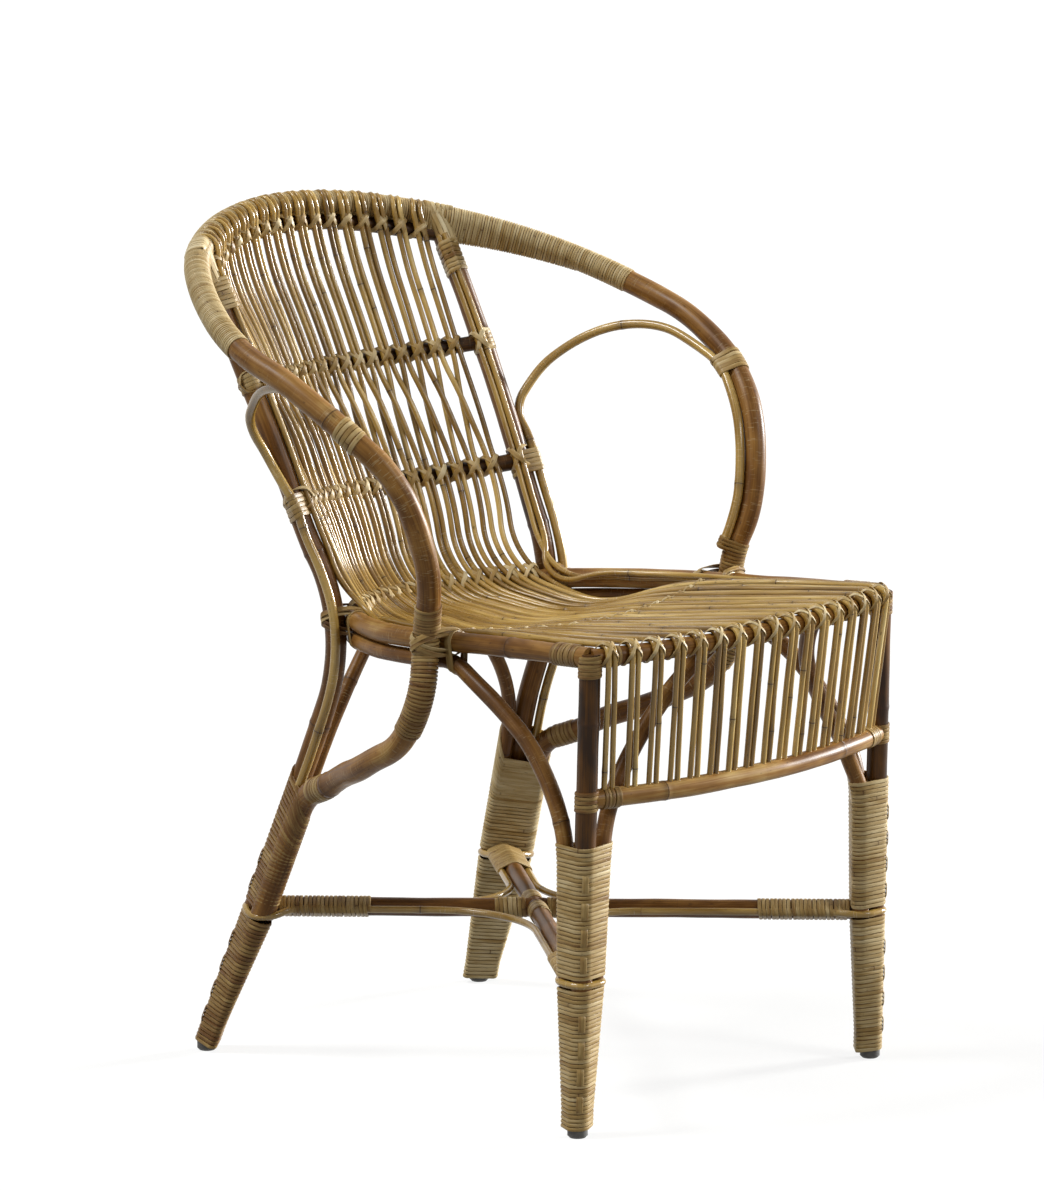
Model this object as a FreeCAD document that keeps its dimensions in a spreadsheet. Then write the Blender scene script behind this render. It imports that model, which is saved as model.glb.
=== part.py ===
import FreeCAD, Part
import math
import os
from FreeCAD import Placement, Rotation, Vector

# Driving dimensions of the rattan armchair, in millimetres.
# +X is the sitter's left, -Y the front of the seat, and the floor is z = 0.
SIZES = {
    "touch_gap": 0.3,
    # Pole and cane diameters
    "arm_diameter": 20.0,
    "post_diameter": 19.0,
    "leg_diameter": 19.0,
    "seat_hoop_diameter": 18.4,
    "brace_hoop_diameter": 15.0,
    "front_rail_diameter": 17.0,
    "skirt_rail_diameter": 17.0,
    "front_brace_diameter": 15.0,
    "rear_brace_diameter": 13.0,
    "arm_loop_diameter": 8.5,
    "top_rail_diameter": 14.0,
    "upper_rail_diameter": 14.5,
    "lower_rail_diameter": 15.5,
    "crossbar_diameter": 10.0,
    "stretcher_diameter": 17.0,
    "star_cane_diameter": 6.5,
    "cane_diameter": 5.2,
    "strip_diameter": 3.6,
    "strip_pitch": 4.7,
    # Feet, tapered tails and leg bindings
    "glide_height": 9.0,
    "glide_diameter": 18.0,
    "glide_chamfer": 2.0,
    "tail_tip_diameter": 7.0,
    "tail_tip_height": 24.0,
    "tail_spread": 3.6,
    "tail_below_skirt": 62.0,
    "arm_tail_height": 235.0,
    "rear_tail_height": 256.0,
    "binding_foot_height": 16.0,
    "binding_below_tail": 4.0,
    # Crossed stretchers and the star cane
    "stretcher_height": 137.0,
    "star_flare": 42.0,
    "star_leave": 95.0,
    "star_ease": 1.6,
    "star_butt_gap": 0.4,
    "stretcher_binding_start": 46.0,
    "stretcher_binding_turns": 12,
    "centre_binding_turns": 4,
    # Front and skirt rails, leg tops
    "front_rail_height": 426.5,
    "front_rail_bow": 34.0,
    "skirt_rail_height": 301.0,
    "skirt_rail_bow": 35.0,
    "leg_top_rise": 3.5,
    "cane_hole_depth": 7.0,
    "cane_hole_clearance": 0.4,
    # Half widths of the fan of canes at each rail
    "cane_columns": 17,
    "fan_top": 138.0,
    "fan_upper": 130.0,
    "fan_lower": 126.0,
    "fan_seat_back": 117.0,
    "fan_dip": 124.0,
    "fan_crossbar": 154.0,
    "fan_front": 181.0,
    "fan_skirt": 176.0,
    "cane_pair_gap": 0.5,
    "cane_ease": 1.0,
    "cane_corner_spread": 0.4,
    "cane_skirt_gap": 2.4,
    "lattice_bulge": 3.0,
    "cane_top_rise": 5.0,
    # Back rails, crossbar and the hollow of the seat
    "upper_rail_height": 612.0,
    "upper_rail_sag": 53.0,
    "upper_rail_drop": 11.0,
    "top_rail_ease": 0.9,
    "lower_rail_height": 508.0,
    "lower_rail_sag": 52.0,
    "lower_rail_drop": 13.0,
    "crossbar_seat_y": -60.0,
    "crossbar_bow": 29.0,
    "crossbar_drop": 14.0,
    "seat_dip_y": 57.0,
    "seat_dip_height": 393.0,
    "seat_dip_rise": 5.0,
    # Braces, arm loops and the heights of the bends below the arms, as shares of their rise
    "front_brace_reach": 67.0,
    "rear_brace_reach": 48.0,
    "brace_below_skirt": 14.0,
    "front_brace_mid_share": 0.358,
    "front_brace_high_share": 0.688,
    "brace_mid_share": 0.597,
    "arm_join_share": 0.248,
    "arm_sweep_share": 0.466,
    "arm_bend_share": 0.707,
    "post_reach": 156.0,
    "loop_start_rise": 42.0,
    "loop_end_rise": 45.0,
    "loop_ease": 0.8,
    "loop_post_turn": 48.0,
    "loop_leave_rise": 39.0,
    "loop_leave_turn": 82.0,
    # Bindings of the arms, corners and skirt rail
    "arm_binding_turns": 24,
    "arm_binding_end_y": 112.0,
    "arm_binding_pitch": 5.6,
    "arm_tie_turns": 4,
    "seat_binding_turns": 5,
    "under_seat_turns": 6,
    "seat_binding_pitch": 5.5,
    "corner_rail_turns": 7,
    "corner_leg_turns": 5,
    "skirt_tie_turns": 4,
}

# Places that the bent poles pass through on the sitter's left side
POINTS = {
    "front_foot": (198.0, -234.0, 0.0),
    "front_leg_head": (195.0, -246.0, 430.0),
    "rear_foot": (184.0, 233.0, 0.0),
    "rear_knee": (146.5, 143.0, 262.0),
    "post_seat": (142.0, 107.0, 403.0),
    "post_low": (149.0, 148.0, 508.0),
    "post_high": (154.0, 199.0, 612.0),
    "arm_low": (211.0, -60.0, 368.0),
    "arm_bend": (208.0, -37.0),
    "arm_sweep": (199.0, 15.0),
    "arm_join": (172.0, 80.0),
    "arm_seat": (203.5, -61.0, 422.0),
    "arm_front": (218.0, -74.0, 493.0),
    "arm_rise": (240.5, -51.0, 570.0),
    "arm_tie": (256.0, -18.0, 603.0),
    "arm_crown": (263.5, 33.5, 635.0),
    "arm_back": (258.5, 111.5, 665.0),
    "rim_side": (218.0, 193.0, 698.0),
    "rim_corner": (150.0, 264.0, 724.0),
    "rim_back": (80.0, 300.0, 738.0),
    "rim_middle": (0.0, 314.0, 743.0),
    "hoop_front": (195.0, -246.0, 427.5),
    "hoop_side": (187.0, -120.0, 420.5),
    "hoop_rear_side": (170.0, 25.0, 411.0),
    "hoop_corner": (149.0, 66.0, 409.0),
    "hoop_back": (113.0, 110.0, 406.0),
    "hoop_middle": (0.0, 149.0, 401.0),
    "brace_bend": (189.0, -118.0, 378.0),
    "brace_mid": (192.0, -186.0),
    "front_brace_low": (160.0, -236.5),
    "front_brace_mid": (127.0, -236.0),
    "front_brace_high": (92.0, -247.0),
    "loop_rise": (189.0, 164.0, 582.0),
    "loop_swing": (211.0, 137.5, 611.0),
    "loop_top": (231.0, 101.0, 628.0),
    "loop_over": (245.0, 60.0, 630.0),
    "loop_fall": (247.0, 21.0, 618.0),
}

# Heights that follow from other sizes
FORMULAS = {
    "front_tail_height": "skirt_rail_height - tail_below_skirt",
    "front_binding_height": "front_tail_height - binding_below_tail",
    "rear_binding_height": "arm_tail_height - binding_below_tail",
    "leg_top_height": "hoop_front_z + leg_top_rise",
    "arm_join_z": "arm_tail_height + arm_join_share * (arm_low_z - arm_tail_height)",
    "arm_sweep_z": "arm_tail_height + arm_sweep_share * (arm_low_z - arm_tail_height)",
    "arm_bend_z": "arm_tail_height + arm_bend_share * (arm_low_z - arm_tail_height)",
    "brace_mid_z": "front_tail_height + brace_mid_share * (brace_bend_z - front_tail_height)",
    "front_brace_low_z": "skirt_rail_height - brace_below_skirt",
    "brace_rise": "front_rail_height - front_brace_low_z",
    "front_brace_mid_z": "front_brace_low_z + front_brace_mid_share * brace_rise",
    "front_brace_high_z": "front_brace_low_z + front_brace_high_share * brace_rise",
    "loop_start_height": "arm_tail_height + loop_start_rise",
    "chair_back": "rim_middle_y + arm_diameter / 2",
    "chair_front": "front_leg_head_y - front_rail_bow - front_rail_diameter / 2 - touch_gap - cane_diameter",
    "centre_shift": "-(chair_back + chair_front) / 2",
}

doc = FreeCAD.newDocument("rattan_armchair")
sheet = doc.addObject("Spreadsheet::Sheet", "Sizes")
nodes = []


def fill_sheet():
    """Write every driving dimension and formula to a cell with an alias."""
    cells = {name: str(value) for name, value in SIZES.items()}
    for name, spot in POINTS.items():
        for axis, value in zip("xyz", spot):
            cells[f"{name}_{axis}"] = str(value)
    for name, formula in FORMULAS.items():
        cells[name] = "=" + formula
    for row, (name, content) in enumerate(cells.items(), 1):
        sheet.set(f"A{row}", name)
        sheet.set(f"B{row}", content)
        sheet.setAlias(f"B{row}", name)
    doc.recompute()


def size(name):
    return float(getattr(sheet, name))


def radius(name):
    return size(name + "_diameter") / 2


def place(name, side=1):
    """A named place, mirrored to the sitter's right side when side is -1."""
    return Vector(side * size(name + "_x"), size(name + "_y"), size(name + "_z"))


def unit(vector):
    return Vector(vector).normalize()


def square_to(vector, axis):
    """The part of a direction that is square to an axis, as a unit vector."""
    return unit(vector - axis * vector.dot(axis))


def mirrored(vector):
    return Vector(-vector.x, vector.y, vector.z)


class Bend:
    """Centre line of a bent pole: pairs of tangent arcs through the given places."""

    steps = 24

    def __init__(self, points, tangents=None):
        self.points = [Vector(p) for p in points]
        self.tangents = self.smooth_tangents(tangents or {})
        self.edges = []
        for i in range(len(self.points) - 1):
            self.add_biarc(self.points[i], self.tangents[i], self.points[i + 1], self.tangents[i + 1])

    def smooth_tangents(self, given):
        """Each tangent is that of the circle through a place and its two neighbours."""
        points = self.points
        last = len(points) - 1
        runs = [points[i + 1] - points[i] for i in range(last)]
        result = [None] * len(points)
        for i in range(1, last):
            before, after = runs[i - 1], runs[i]
            result[i] = unit(before * (after.Length / before.Length) + after * (before.Length / after.Length))
        for i, tangent in given.items():
            result[i % len(points)] = unit(tangent)
        for end, near, run in ((0, 1, runs[0]), (last, last - 1, runs[-1])):
            if result[end] is None:
                chord = unit(run)
                across = result[near] if result[near] is not None else chord
                result[end] = unit(chord * (2 * chord.dot(across)) - across)
        return result

    def add_biarc(self, start, start_tangent, end, end_tangent):
        run = end - start
        both = start_tangent + end_tangent
        spread = 2 * (1 - start_tangent.dot(end_tangent))
        if spread < 1e-9:
            reach = run.dot(run) / (4 * run.dot(end_tangent))
        else:
            along = run.dot(both)
            reach = (math.sqrt(along * along + spread * run.dot(run)) - along) / spread
        middle = (start + end + (start_tangent - end_tangent) * reach) / 2
        if unit(run).cross(start_tangent).Length < 1e-6 and unit(run).cross(end_tangent).Length < 1e-6:
            self.edges.append(Part.LineSegment(start, end).toShape())
        else:
            self.add_arc(start, start_tangent, middle)
            self.add_arc(middle, self.leave, end)

    def add_arc(self, start, tangent, end):
        """An arc that starts along a tangent; the tangent at its end is kept for the next arc."""
        chord = end - start
        along = unit(chord)
        sideways = tangent - along * tangent.dot(along)
        self.leave = along * (2 * along.dot(tangent)) - tangent
        if sideways.Length < 1e-6:
            self.edges.append(Part.LineSegment(start, end).toShape())
            return
        angle = math.atan2(sideways.Length, tangent.dot(along))
        crest = (start + end) / 2 + unit(sideways) * (chord.Length / 2 * math.tan(angle / 2))
        self.edges.append(Part.Arc(start, crest, end).toShape())

    def wire(self):
        return Part.Wire(self.edges)

    def track(self):
        """Points along the line with their distance from its start."""
        points = [self.points[0]]
        for edge in self.edges:
            line = edge.discretize(Number=self.steps + 1)
            if line[0].distanceToPoint(points[-1]) > line[-1].distanceToPoint(points[-1]):
                line.reverse()
            points += line[1:]
        distance = 0.0
        result = [(distance, points[0])]
        for near, far in zip(points, points[1:]):
            distance += near.distanceToPoint(far)
            result.append((distance, far))
        return result

    def at(self, axis, value, keep=None):
        """Place, tangent and distance where a coordinate takes a value; keep picks one of several."""
        found = []
        for (near_s, near), (far_s, far) in zip(self.tracked(), self.tracked()[1:]):
            low, high = getattr(near, axis) - value, getattr(far, axis) - value
            if low * high <= 0 and low != high:
                share = low / (low - high)
                found.append((near + (far - near) * share, unit(far - near), near_s + (far_s - near_s) * share))
        return min(found, key=lambda hit: keep(hit[0])) if keep else found[0]

    def beside(self, point, axis):
        """The place nearest to a point among those in the plane square to an axis there."""
        found = []
        for (_, near), (_, far) in zip(self.tracked(), self.tracked()[1:]):
            low, high = (near - point).dot(axis), (far - point).dot(axis)
            if low * high <= 0 and low != high:
                found.append(near + (far - near) * (low / (low - high)))
        return min(found, key=point.distanceToPoint)

    def along(self, distance):
        """Place and tangent at a distance from the start."""
        for (near_s, near), (far_s, far) in zip(self.tracked(), self.tracked()[1:]):
            if far_s >= distance:
                break
        return near + (far - near) * ((distance - near_s) / (far_s - near_s)), unit(far - near)

    def tracked(self):
        if not hasattr(self, "kept_track"):
            self.kept_track = self.track()
        return self.kept_track


class Leg:
    """The straight run of a leg with tapered tails of bent poles laid along it."""

    def __init__(self, foot, head, diameter):
        self.foot = foot
        self.axis = unit(head - foot)
        self.radius = radius(diameter)
        self.tails = []

    def on_axis(self, height):
        return self.foot + self.axis * ((height - self.foot.z) / self.axis.z)

    def add_tail(self, direction, diameter, top, spread=0.0):
        self.tails.append((square_to(direction, self.axis), radius(diameter), size(top), spread))

    def tail(self, index, height):
        """Centre and radius of a tail at a height: it closes on the leg down to the stretchers, then tapers."""
        direction, thick, top, spread = self.tails[index]
        tip, low, knee = radius("tail_tip"), size("tail_tip_height"), size("stretcher_height")
        here = tip + (thick - tip) * min(max((height - low) / (knee - low), 0.0), 1.0)
        apart = size("touch_gap") + spread * max((height - knee) / (top - knee), 0.0)
        return self.on_axis(height) + direction * (self.radius + here + apart), here

    def ring(self, height):
        """The leg and its tails as circles at a height, in order round the leg."""
        circles = [(self.on_axis(height), self.radius)]
        circles += [self.tail(i, height) for i in range(len(self.tails))]
        turn = (circles[1][0] - circles[0][0]).cross(circles[2][0] - circles[1][0])
        return circles if turn.z > 0 else circles[::-1]


def sweep(name, bend, diameter, grown=False):
    """A round pole along a bend, its section bound to the named diameter."""
    line = doc.addObject("Part::Feature", name + "_line")
    line.Shape = bend.wire()
    section = doc.addObject("Part::Circle", name + "_section")
    clearance = " + Sizes.touch_gap" if grown else ""
    section.setExpression("Radius", f"Sizes.{diameter}_diameter / 2{clearance}")
    section.Placement = Placement(bend.points[0], Rotation(Vector(0, 0, 1), bend.tangents[0]))
    body = doc.addObject("Part::Sweep", name + "_sweep")
    body.Sections = [section]
    body.Spine = (line, [f"Edge{i + 1}" for i in range(len(bend.edges))])
    body.Solid = True
    body.Frenet = False
    body.Transition = "Transformed"
    return body


def cope(name, body, mates):
    """Cut a pole to sit a touch gap from each pole that it meets."""
    for i, mate in enumerate(mates):
        cut = doc.addObject("Part::Cut", f"{name}_cope_{i + 1}")
        cut.Base = body
        cut.Tool = mate
        body = cut
    return body


def fuse(name, bodies):
    joined = doc.addObject("Part::MultiFuse", name + "_joined")
    joined.Shapes = bodies
    return joined


def group(name, bodies):
    """Like pieces that share one node, as separate solids."""
    gathered = doc.addObject("Part::Compound", name + "_group")
    gathered.Links = bodies
    return gathered


def keep_node(label, body):
    """Name a finished piece and set its place in the frame, whose origin is under the box's middle."""
    body.Label = label
    body.setExpression("Placement.Base.y", "Sizes.centre_shift")
    nodes.append(body)


def tail_cone(name, leg, index, diameter):
    """The tapered tail of a bent pole, flush with the leg from the stretchers down to its tip."""
    _, up = tail_start(leg, index)
    ends = []
    for end, height in ((diameter, "stretcher_height"), ("tail_tip", "tail_tip_height")):
        circle = doc.addObject("Part::Circle", f"{name}_{end}_end")
        circle.setExpression("Radius", f"Sizes.{end}_diameter / 2")
        circle.Placement = Placement(leg.tail(index, size(height))[0], Rotation(Vector(0, 0, 1), up))
        ends.append(circle)
    cone = doc.addObject("Part::Loft", name + "_tail")
    cone.Sections = ends
    cone.Solid = True
    cone.Ruled = True
    return cone


def tail_start(leg, index):
    """The straight run of a bent pole along a leg, above its taper, and its direction."""
    low, _ = leg.tail(index, size("stretcher_height"))
    top, _ = leg.tail(index, leg.tails[index][2])
    return [low, top], unit(top - low)


def outer_normal(near, far, axis):
    """Outward direction of the strip that runs from one circle to the next, anticlockwise."""
    run = far[0] - near[0]
    run = run - axis * run.dot(axis)
    lean = (near[1] - far[1]) / run.Length
    along = unit(run)
    return along * lean + along.cross(axis) * math.sqrt(1 - lean * lean)


def bundle_line(ring, axis, start, turns, pitch):
    """Centre line of a strip wound round a bundle of poles.

    ring gives the circles of the bundle at a distance along the axis, in order round it.
    """
    off = radius("strip") + size("touch_gap")
    points = []
    tangents = {}
    height = start
    corners = len(ring(start))
    for step in range(turns * corners + 1):
        circles = ring(height)
        here = step % corners
        before = outer_normal(circles[here - 1], circles[here], axis)
        after = outer_normal(circles[here], circles[(here + 1) % corners], axis)
        reach = circles[here][1] + off
        rise = pitch / perimeter(circles, axis, off)
        first = circles[here][0] + before * reach
        if points:
            run = first - points[-1]
            height += rise * (run - axis * run.dot(axis)).Length
        turn = math.acos(max(-1.0, min(1.0, before.dot(after))))
        for normal in (before, after):
            centre = ring(height)[here][0]
            tangents[len(points)] = axis.cross(normal) + axis * rise
            points.append(centre + normal * reach)
            if normal is before:
                height += rise * turn * reach
    return Bend(points, tangents)


def perimeter(circles, axis, off):
    """Length of one turn round a bundle."""
    length = 0.0
    for i, circle in enumerate(circles):
        near, far = circles[i - 1], circles[(i + 1) % len(circles)]
        before, after = outer_normal(near, circle, axis), outer_normal(circle, far, axis)
        length += math.acos(max(-1.0, min(1.0, before.dot(after)))) * (circle[1] + off)
        length += ((far[0] + after * far[1]) - (circle[0] + after * circle[1])).Length
    return length


def coil_line(bend, reach, start, turns, pitch):
    """Centre line of a strip wound round one pole, in half turns along its bend."""
    points = []
    tangents = {}
    lie = bend.along(start + turns * pitch / 2)[1]
    aside = Vector(0, 0, 1) if abs(lie.z) < 0.7 else Vector(1, 0, 0)
    for half in range(2 * turns + 1):
        centre, axis = bend.along(start + half * pitch / 2)
        up = square_to(aside, axis)
        sign = 1 if half % 2 == 0 else -1
        tangents[half] = axis.cross(up) * (sign * reach) + axis * (pitch / (2 * math.pi))
        points.append(centre + up * (sign * reach))
    return Bend(points, tangents)


def least_gap(bend, turns):
    """Smallest clear distance between neighbouring turns of a winding, measured on points."""
    track = bend.tracked()[::6]
    loop = track[-1][0] / turns
    least = loop
    for i, (start, here) in enumerate(track):
        for distance, other in track[i + 1:]:
            if distance > start + 1.5 * loop:
                break
            if distance > start + 0.5 * loop:
                least = min(least, here.distanceToPoint(other))
    return least - size("strip_diameter")


def winding(name, bend, turns):
    """A strip wound along a line; its least gap to itself is printed."""
    print(f"{name}: least gap between turns {least_gap(bend, turns):.2f} mm")
    return sweep(name, bend, "strip")


SIDES = {"left": 1, "right": -1}

# Directions on the sitter's left side in which pieces lie against the poles that carry them
BRACE_HOOP_WAY = Vector(0, 1, 0)
FRONT_BRACE_WAY = Vector(-1, 0, 0)
ARM_TAIL_WAY = Vector(0.4, -0.9, 0)
REAR_BRACE_WAY = Vector(-1, 0.1, 0)
TOP_RAIL_WAY = Vector(0, -0.35, -0.94)
LOOP_ON_ARM_WAY = Vector(-0.9, 0.45, 0)
CANE_ON_SEAT_BACK_WAY = Vector(0, -0.67, 0.74)

# Shares of the way to the post at which the top rail is led under the rim
TOP_RAIL_SHARES = (0.85, 0.6, 0.3, 0.0)

MOST_TURNS = 24

# Steps in which the arm loop is led along the post and down the arm
LOOP_POST_STEPS = 8
LOOP_ARM_STEPS = 6


def turned(way, side):
    return way if side > 0 else mirrored(way)


def both_ways(points):
    """A half line on the sitter's left and its mirror image, joined at the middle point."""
    return points + [mirrored(p) for p in reversed(points[:-1])]


def lay_out():
    """Centre lines of the frame, which the pieces share."""
    lines = {}
    legs = {}
    for name, side in SIDES.items():
        front = Leg(place("front_foot", side), place("front_leg_head", side), "leg")
        front.add_tail(turned(BRACE_HOOP_WAY, side), "brace_hoop", "front_tail_height", size("tail_spread"))
        front.add_tail(turned(FRONT_BRACE_WAY, side), "front_brace", "front_tail_height", size("tail_spread"))
        rear = Leg(place("rear_foot", side), place("rear_knee", side), "post")
        rear.add_tail(turned(ARM_TAIL_WAY, side), "arm", "arm_tail_height")
        rear.add_tail(turned(REAR_BRACE_WAY, side), "rear_brace", "rear_tail_height")
        legs["front", name] = front
        legs["rear", name] = rear
    front, rear = legs["front", "left"], legs["rear", "left"]

    start, rise = tail_start(rear, 0)
    names = ["arm_join", "arm_sweep", "arm_bend", "arm_low", "arm_seat", "arm_front", "arm_rise", "arm_tie",
             "arm_crown", "arm_back", "rim_side", "rim_corner", "rim_back", "rim_middle"]
    points = both_ways(start + [place(n) for n in names])
    fall = mirrored(rise) * -1
    lines["arm"] = Bend(points, {0: rise, 1: rise, -2: fall, -1: fall})

    names = ["hoop_front", "hoop_side", "hoop_rear_side", "hoop_corner", "hoop_back", "hoop_middle"]
    lines["seat_hoop"] = Bend(both_ways([place(n) for n in names]))

    drop = Vector(0, 0, -(radius("seat_hoop") + radius("brace_hoop") + size("touch_gap")))
    start, rise = tail_start(front, 0)
    fall = mirrored(rise) * -1
    beside_arm, along, _ = lines["seat_hoop"].at("y", size("arm_seat_y"), lambda p: -p.x)
    points = start + [place("brace_mid"), place("brace_bend"), beside_arm + drop]
    points += [place(n) + drop for n in names[2:]]
    lines["brace_hoop"] = Bend(both_ways(points), {0: rise, 1: rise, 4: along, -5: mirrored(along) * -1,
                                                   -2: fall, -1: fall})

    for name, side in SIDES.items():
        leg = legs["rear", name]
        crown = lines["arm"].at("x", side * size("post_reach"), on_rim)[0]
        points = [leg.foot, place("rear_knee", side), place("post_seat", side), place("post_low", side),
                  place("post_high", side), crown]
        lines["post", name] = Bend(points, {0: leg.axis, 1: leg.axis})
        leg = legs["front", name]
        lines["leg", name] = Bend([leg.foot, leg.on_axis(size("leg_top_height"))])

    for rail in ("front_rail", "skirt_rail"):
        end = front.on_axis(size(rail + "_height"))
        middle = Vector(0, end.y - size(rail + "_bow"), end.z)
        lines[rail] = Bend(both_ways([end, middle]))

    for rail in ("upper_rail", "lower_rail"):
        end = lines["post", "left"].at("z", size(rail + "_height"))[0]
        middle = Vector(0, end.y + size(rail + "_sag"), end.z - size(rail + "_drop"))
        lines[rail] = Bend(both_ways([end, middle]))

    points = [top_rail_place(lines["arm"], size("post_reach") * share) for share in TOP_RAIL_SHARES]
    end = lines["post", "left"].at("z", top_rail_place(lines["arm"], size("post_reach")).z)[0]
    lines["top_rail"] = Bend(both_ways([end] + points))

    end = lines["seat_hoop"].at("y", size("crossbar_seat_y"), lambda p: -p.x)[0]
    middle = Vector(0, end.y - size("crossbar_bow"), end.z - size("crossbar_drop"))
    lines["crossbar"] = Bend(both_ways([end, middle]))

    for name, side in SIDES.items():
        start, up = tail_start(legs["front", name], 1)
        head = lines["front_rail"].at("x", side * size("front_brace_reach"))[0]
        bends = ("front_brace_low", "front_brace_mid", "front_brace_high")
        points = start + [place(n, side) for n in bends] + [head]
        lines["front_brace", name] = Bend(points, {0: up, 1: up})
        start, up = tail_start(legs["rear", name], 1)
        head = lines["brace_hoop"].at("x", side * size("rear_brace_reach"), on_back)[0]
        lines["rear_brace", name] = Bend(start + [head], {0: up, 1: up})
        lines["arm_loop", name] = arm_loop_line(lines, side, name)
    return lines, legs


def on_rim(p):
    return -p.z


def on_back(p):
    return -p.y


def top_rail_place(arm, x):
    """A place on the top rail, tucked in front of and under the rim."""
    rim, along, _ = arm.at("x", x, on_rim)
    tuck = square_to(TOP_RAIL_WAY, along)
    return rim + tuck * (radius("arm") + radius("top_rail") + size("top_rail_ease"))


def arm_loop_line(lines, side, name):
    """The loop lies along the post, swings over and runs down the inside of the arm."""
    post, arm = lines["post", name], lines["arm"]
    beside_post = radius("post") + radius("arm_loop") + size("touch_gap")
    beside_arm = radius("arm") + radius("arm_loop") + size("touch_gap")
    points = []
    knee, low = size("loop_start_height"), size("post_low_z")
    first, last = size("loop_post_turn"), size("loop_leave_turn")
    stops = [(knee + (low - knee) * step / LOOP_POST_STEPS, first) for step in range(LOOP_POST_STEPS + 1)]
    stops += [(low + size("loop_leave_rise") * share, first + (last - first) * share) for share in (0.5, 1)]
    for height, turn in stops:
        centre, along, _ = post.at("z", height)
        swing = math.radians(turn)
        way = square_to(Vector(side * math.sin(swing), -math.cos(swing), 0), along)
        points.append(centre + way * (beside_post + size("loop_ease")))
    points += [place(n, side) for n in ("loop_rise", "loop_swing", "loop_top", "loop_over", "loop_fall")]
    tie, end = size("arm_tie_z"), size("arm_seat_z") + size("loop_end_rise")
    for step in range(LOOP_ARM_STEPS + 1):
        height = tie + (end - tie) * step / LOOP_ARM_STEPS
        centre, along, _ = arm.at("z", height, lambda p: abs(p.x - side * size("arm_tie_x")) + abs(p.y))
        way = square_to(turned(LOOP_ON_ARM_WAY, side), along)
        points.append(centre + way * (beside_arm + size("loop_ease")))
    return Bend(points)


def grown(name, bend, diameter):
    return sweep(name + "_room", bend, diameter, True)


def floor_block():
    """Everything below the tops of the glides, to cut the feet flat."""
    spread, depth = 1000.0, 100.0
    block = doc.addObject("Part::Box", "floor_block")
    block.Length = block.Width = spread
    block.setExpression("Height", f"Sizes.glide_height + {depth}")
    block.Placement.Base = Vector(-spread / 2, -spread / 2, -depth)
    return block


def make_frame(lines, legs):
    """The load-bearing poles: arm hoop, posts, legs, hoops, rails, braces and loops."""
    room = {key: grown(key, lines[key], key) for key in ("arm", "seat_hoop", "brace_hoop", "front_rail")}
    leg_rooms = [grown(f"leg_{name}", lines["leg", name], "leg") for name in SIDES]
    post_rooms = [grown(f"post_{name}", lines["post", name], "post") for name in SIDES]
    ground = floor_block()

    arm = [sweep("arm_hoop", lines["arm"], "arm")]
    arm += [tail_cone(f"arm_{name}", legs["rear", name], 0, "arm") for name in SIDES]
    keep_node("arm_hoop", fuse("arm_hoop", arm))
    keep_node("seat_hoop", cope("seat_hoop", sweep("seat_hoop", lines["seat_hoop"], "seat_hoop"), leg_rooms))
    brace = [sweep("brace_hoop", lines["brace_hoop"], "brace_hoop")]
    brace += [tail_cone(f"brace_{name}", legs["front", name], 0, "brace_hoop") for name in SIDES]
    keep_node("brace_hoop", fuse("brace_hoop", brace))

    rail = sweep("front_rail", lines["front_rail"], "front_rail")
    keep_node("front_rail", cope("front_rail", rail, leg_rooms + [room["seat_hoop"]]))
    for rail, key in (("back_top_rail", "top_rail"), ("back_upper_rail", "upper_rail"),
                      ("back_lower_rail", "lower_rail")):
        keep_node(rail, cope(rail, sweep(rail, lines[key], key), post_rooms))
    bar = sweep("seat_crossbar", lines["crossbar"], "crossbar")
    keep_node("seat_crossbar", cope("seat_crossbar", bar, [room["seat_hoop"]]))

    for name in SIDES:
        label = f"back_post_{name}"
        keep_node(label, cope(label, sweep(label, lines["post", name], "post"), [room["arm"], ground]))
        label = f"front_leg_{name}"
        keep_node(label, cope(label, sweep(label, lines["leg", name], "leg"), [ground]))
        for end, mate in (("front", "front_rail"), ("rear", "brace_hoop")):
            label = f"{end}_brace_{name}"
            pole = cope(label, sweep(label, lines[f"{end}_brace", name], f"{end}_brace"), [room[mate]])
            tail = tail_cone(label, legs[end, name], 1, f"{end}_brace")
            keep_node(label, fuse(label, [pole, tail]))
        label = f"arm_loop_{name}"
        keep_node(label, sweep(label, lines["arm_loop", name], "arm_loop"))
    return leg_rooms


def make_glides(legs):
    """Four plastic glides under the feet, bevelled at the floor."""
    glides = []
    for (end, name), leg in legs.items():
        foot = leg.on_axis(size("glide_height"))
        bevel = doc.addObject("Part::Cone", f"glide_bevel_{end}_{name}")
        bevel.setExpression("Radius1", "Sizes.glide_diameter / 2 - Sizes.glide_chamfer")
        bevel.setExpression("Radius2", "Sizes.glide_diameter / 2")
        bevel.setExpression("Height", "Sizes.glide_chamfer")
        bevel.Placement.Base = Vector(foot.x, foot.y, 0)
        barrel = doc.addObject("Part::Cylinder", f"glide_barrel_{end}_{name}")
        barrel.setExpression("Radius", "Sizes.glide_diameter / 2")
        barrel.setExpression("Height", "Sizes.glide_height - Sizes.glide_chamfer")
        barrel.Placement.Base = Vector(foot.x, foot.y, size("glide_chamfer"))
        glides.append(fuse(f"glide_{end}_{name}", [bevel, barrel]))
    keep_node("foot_glides", group("foot_glides", glides))


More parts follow.
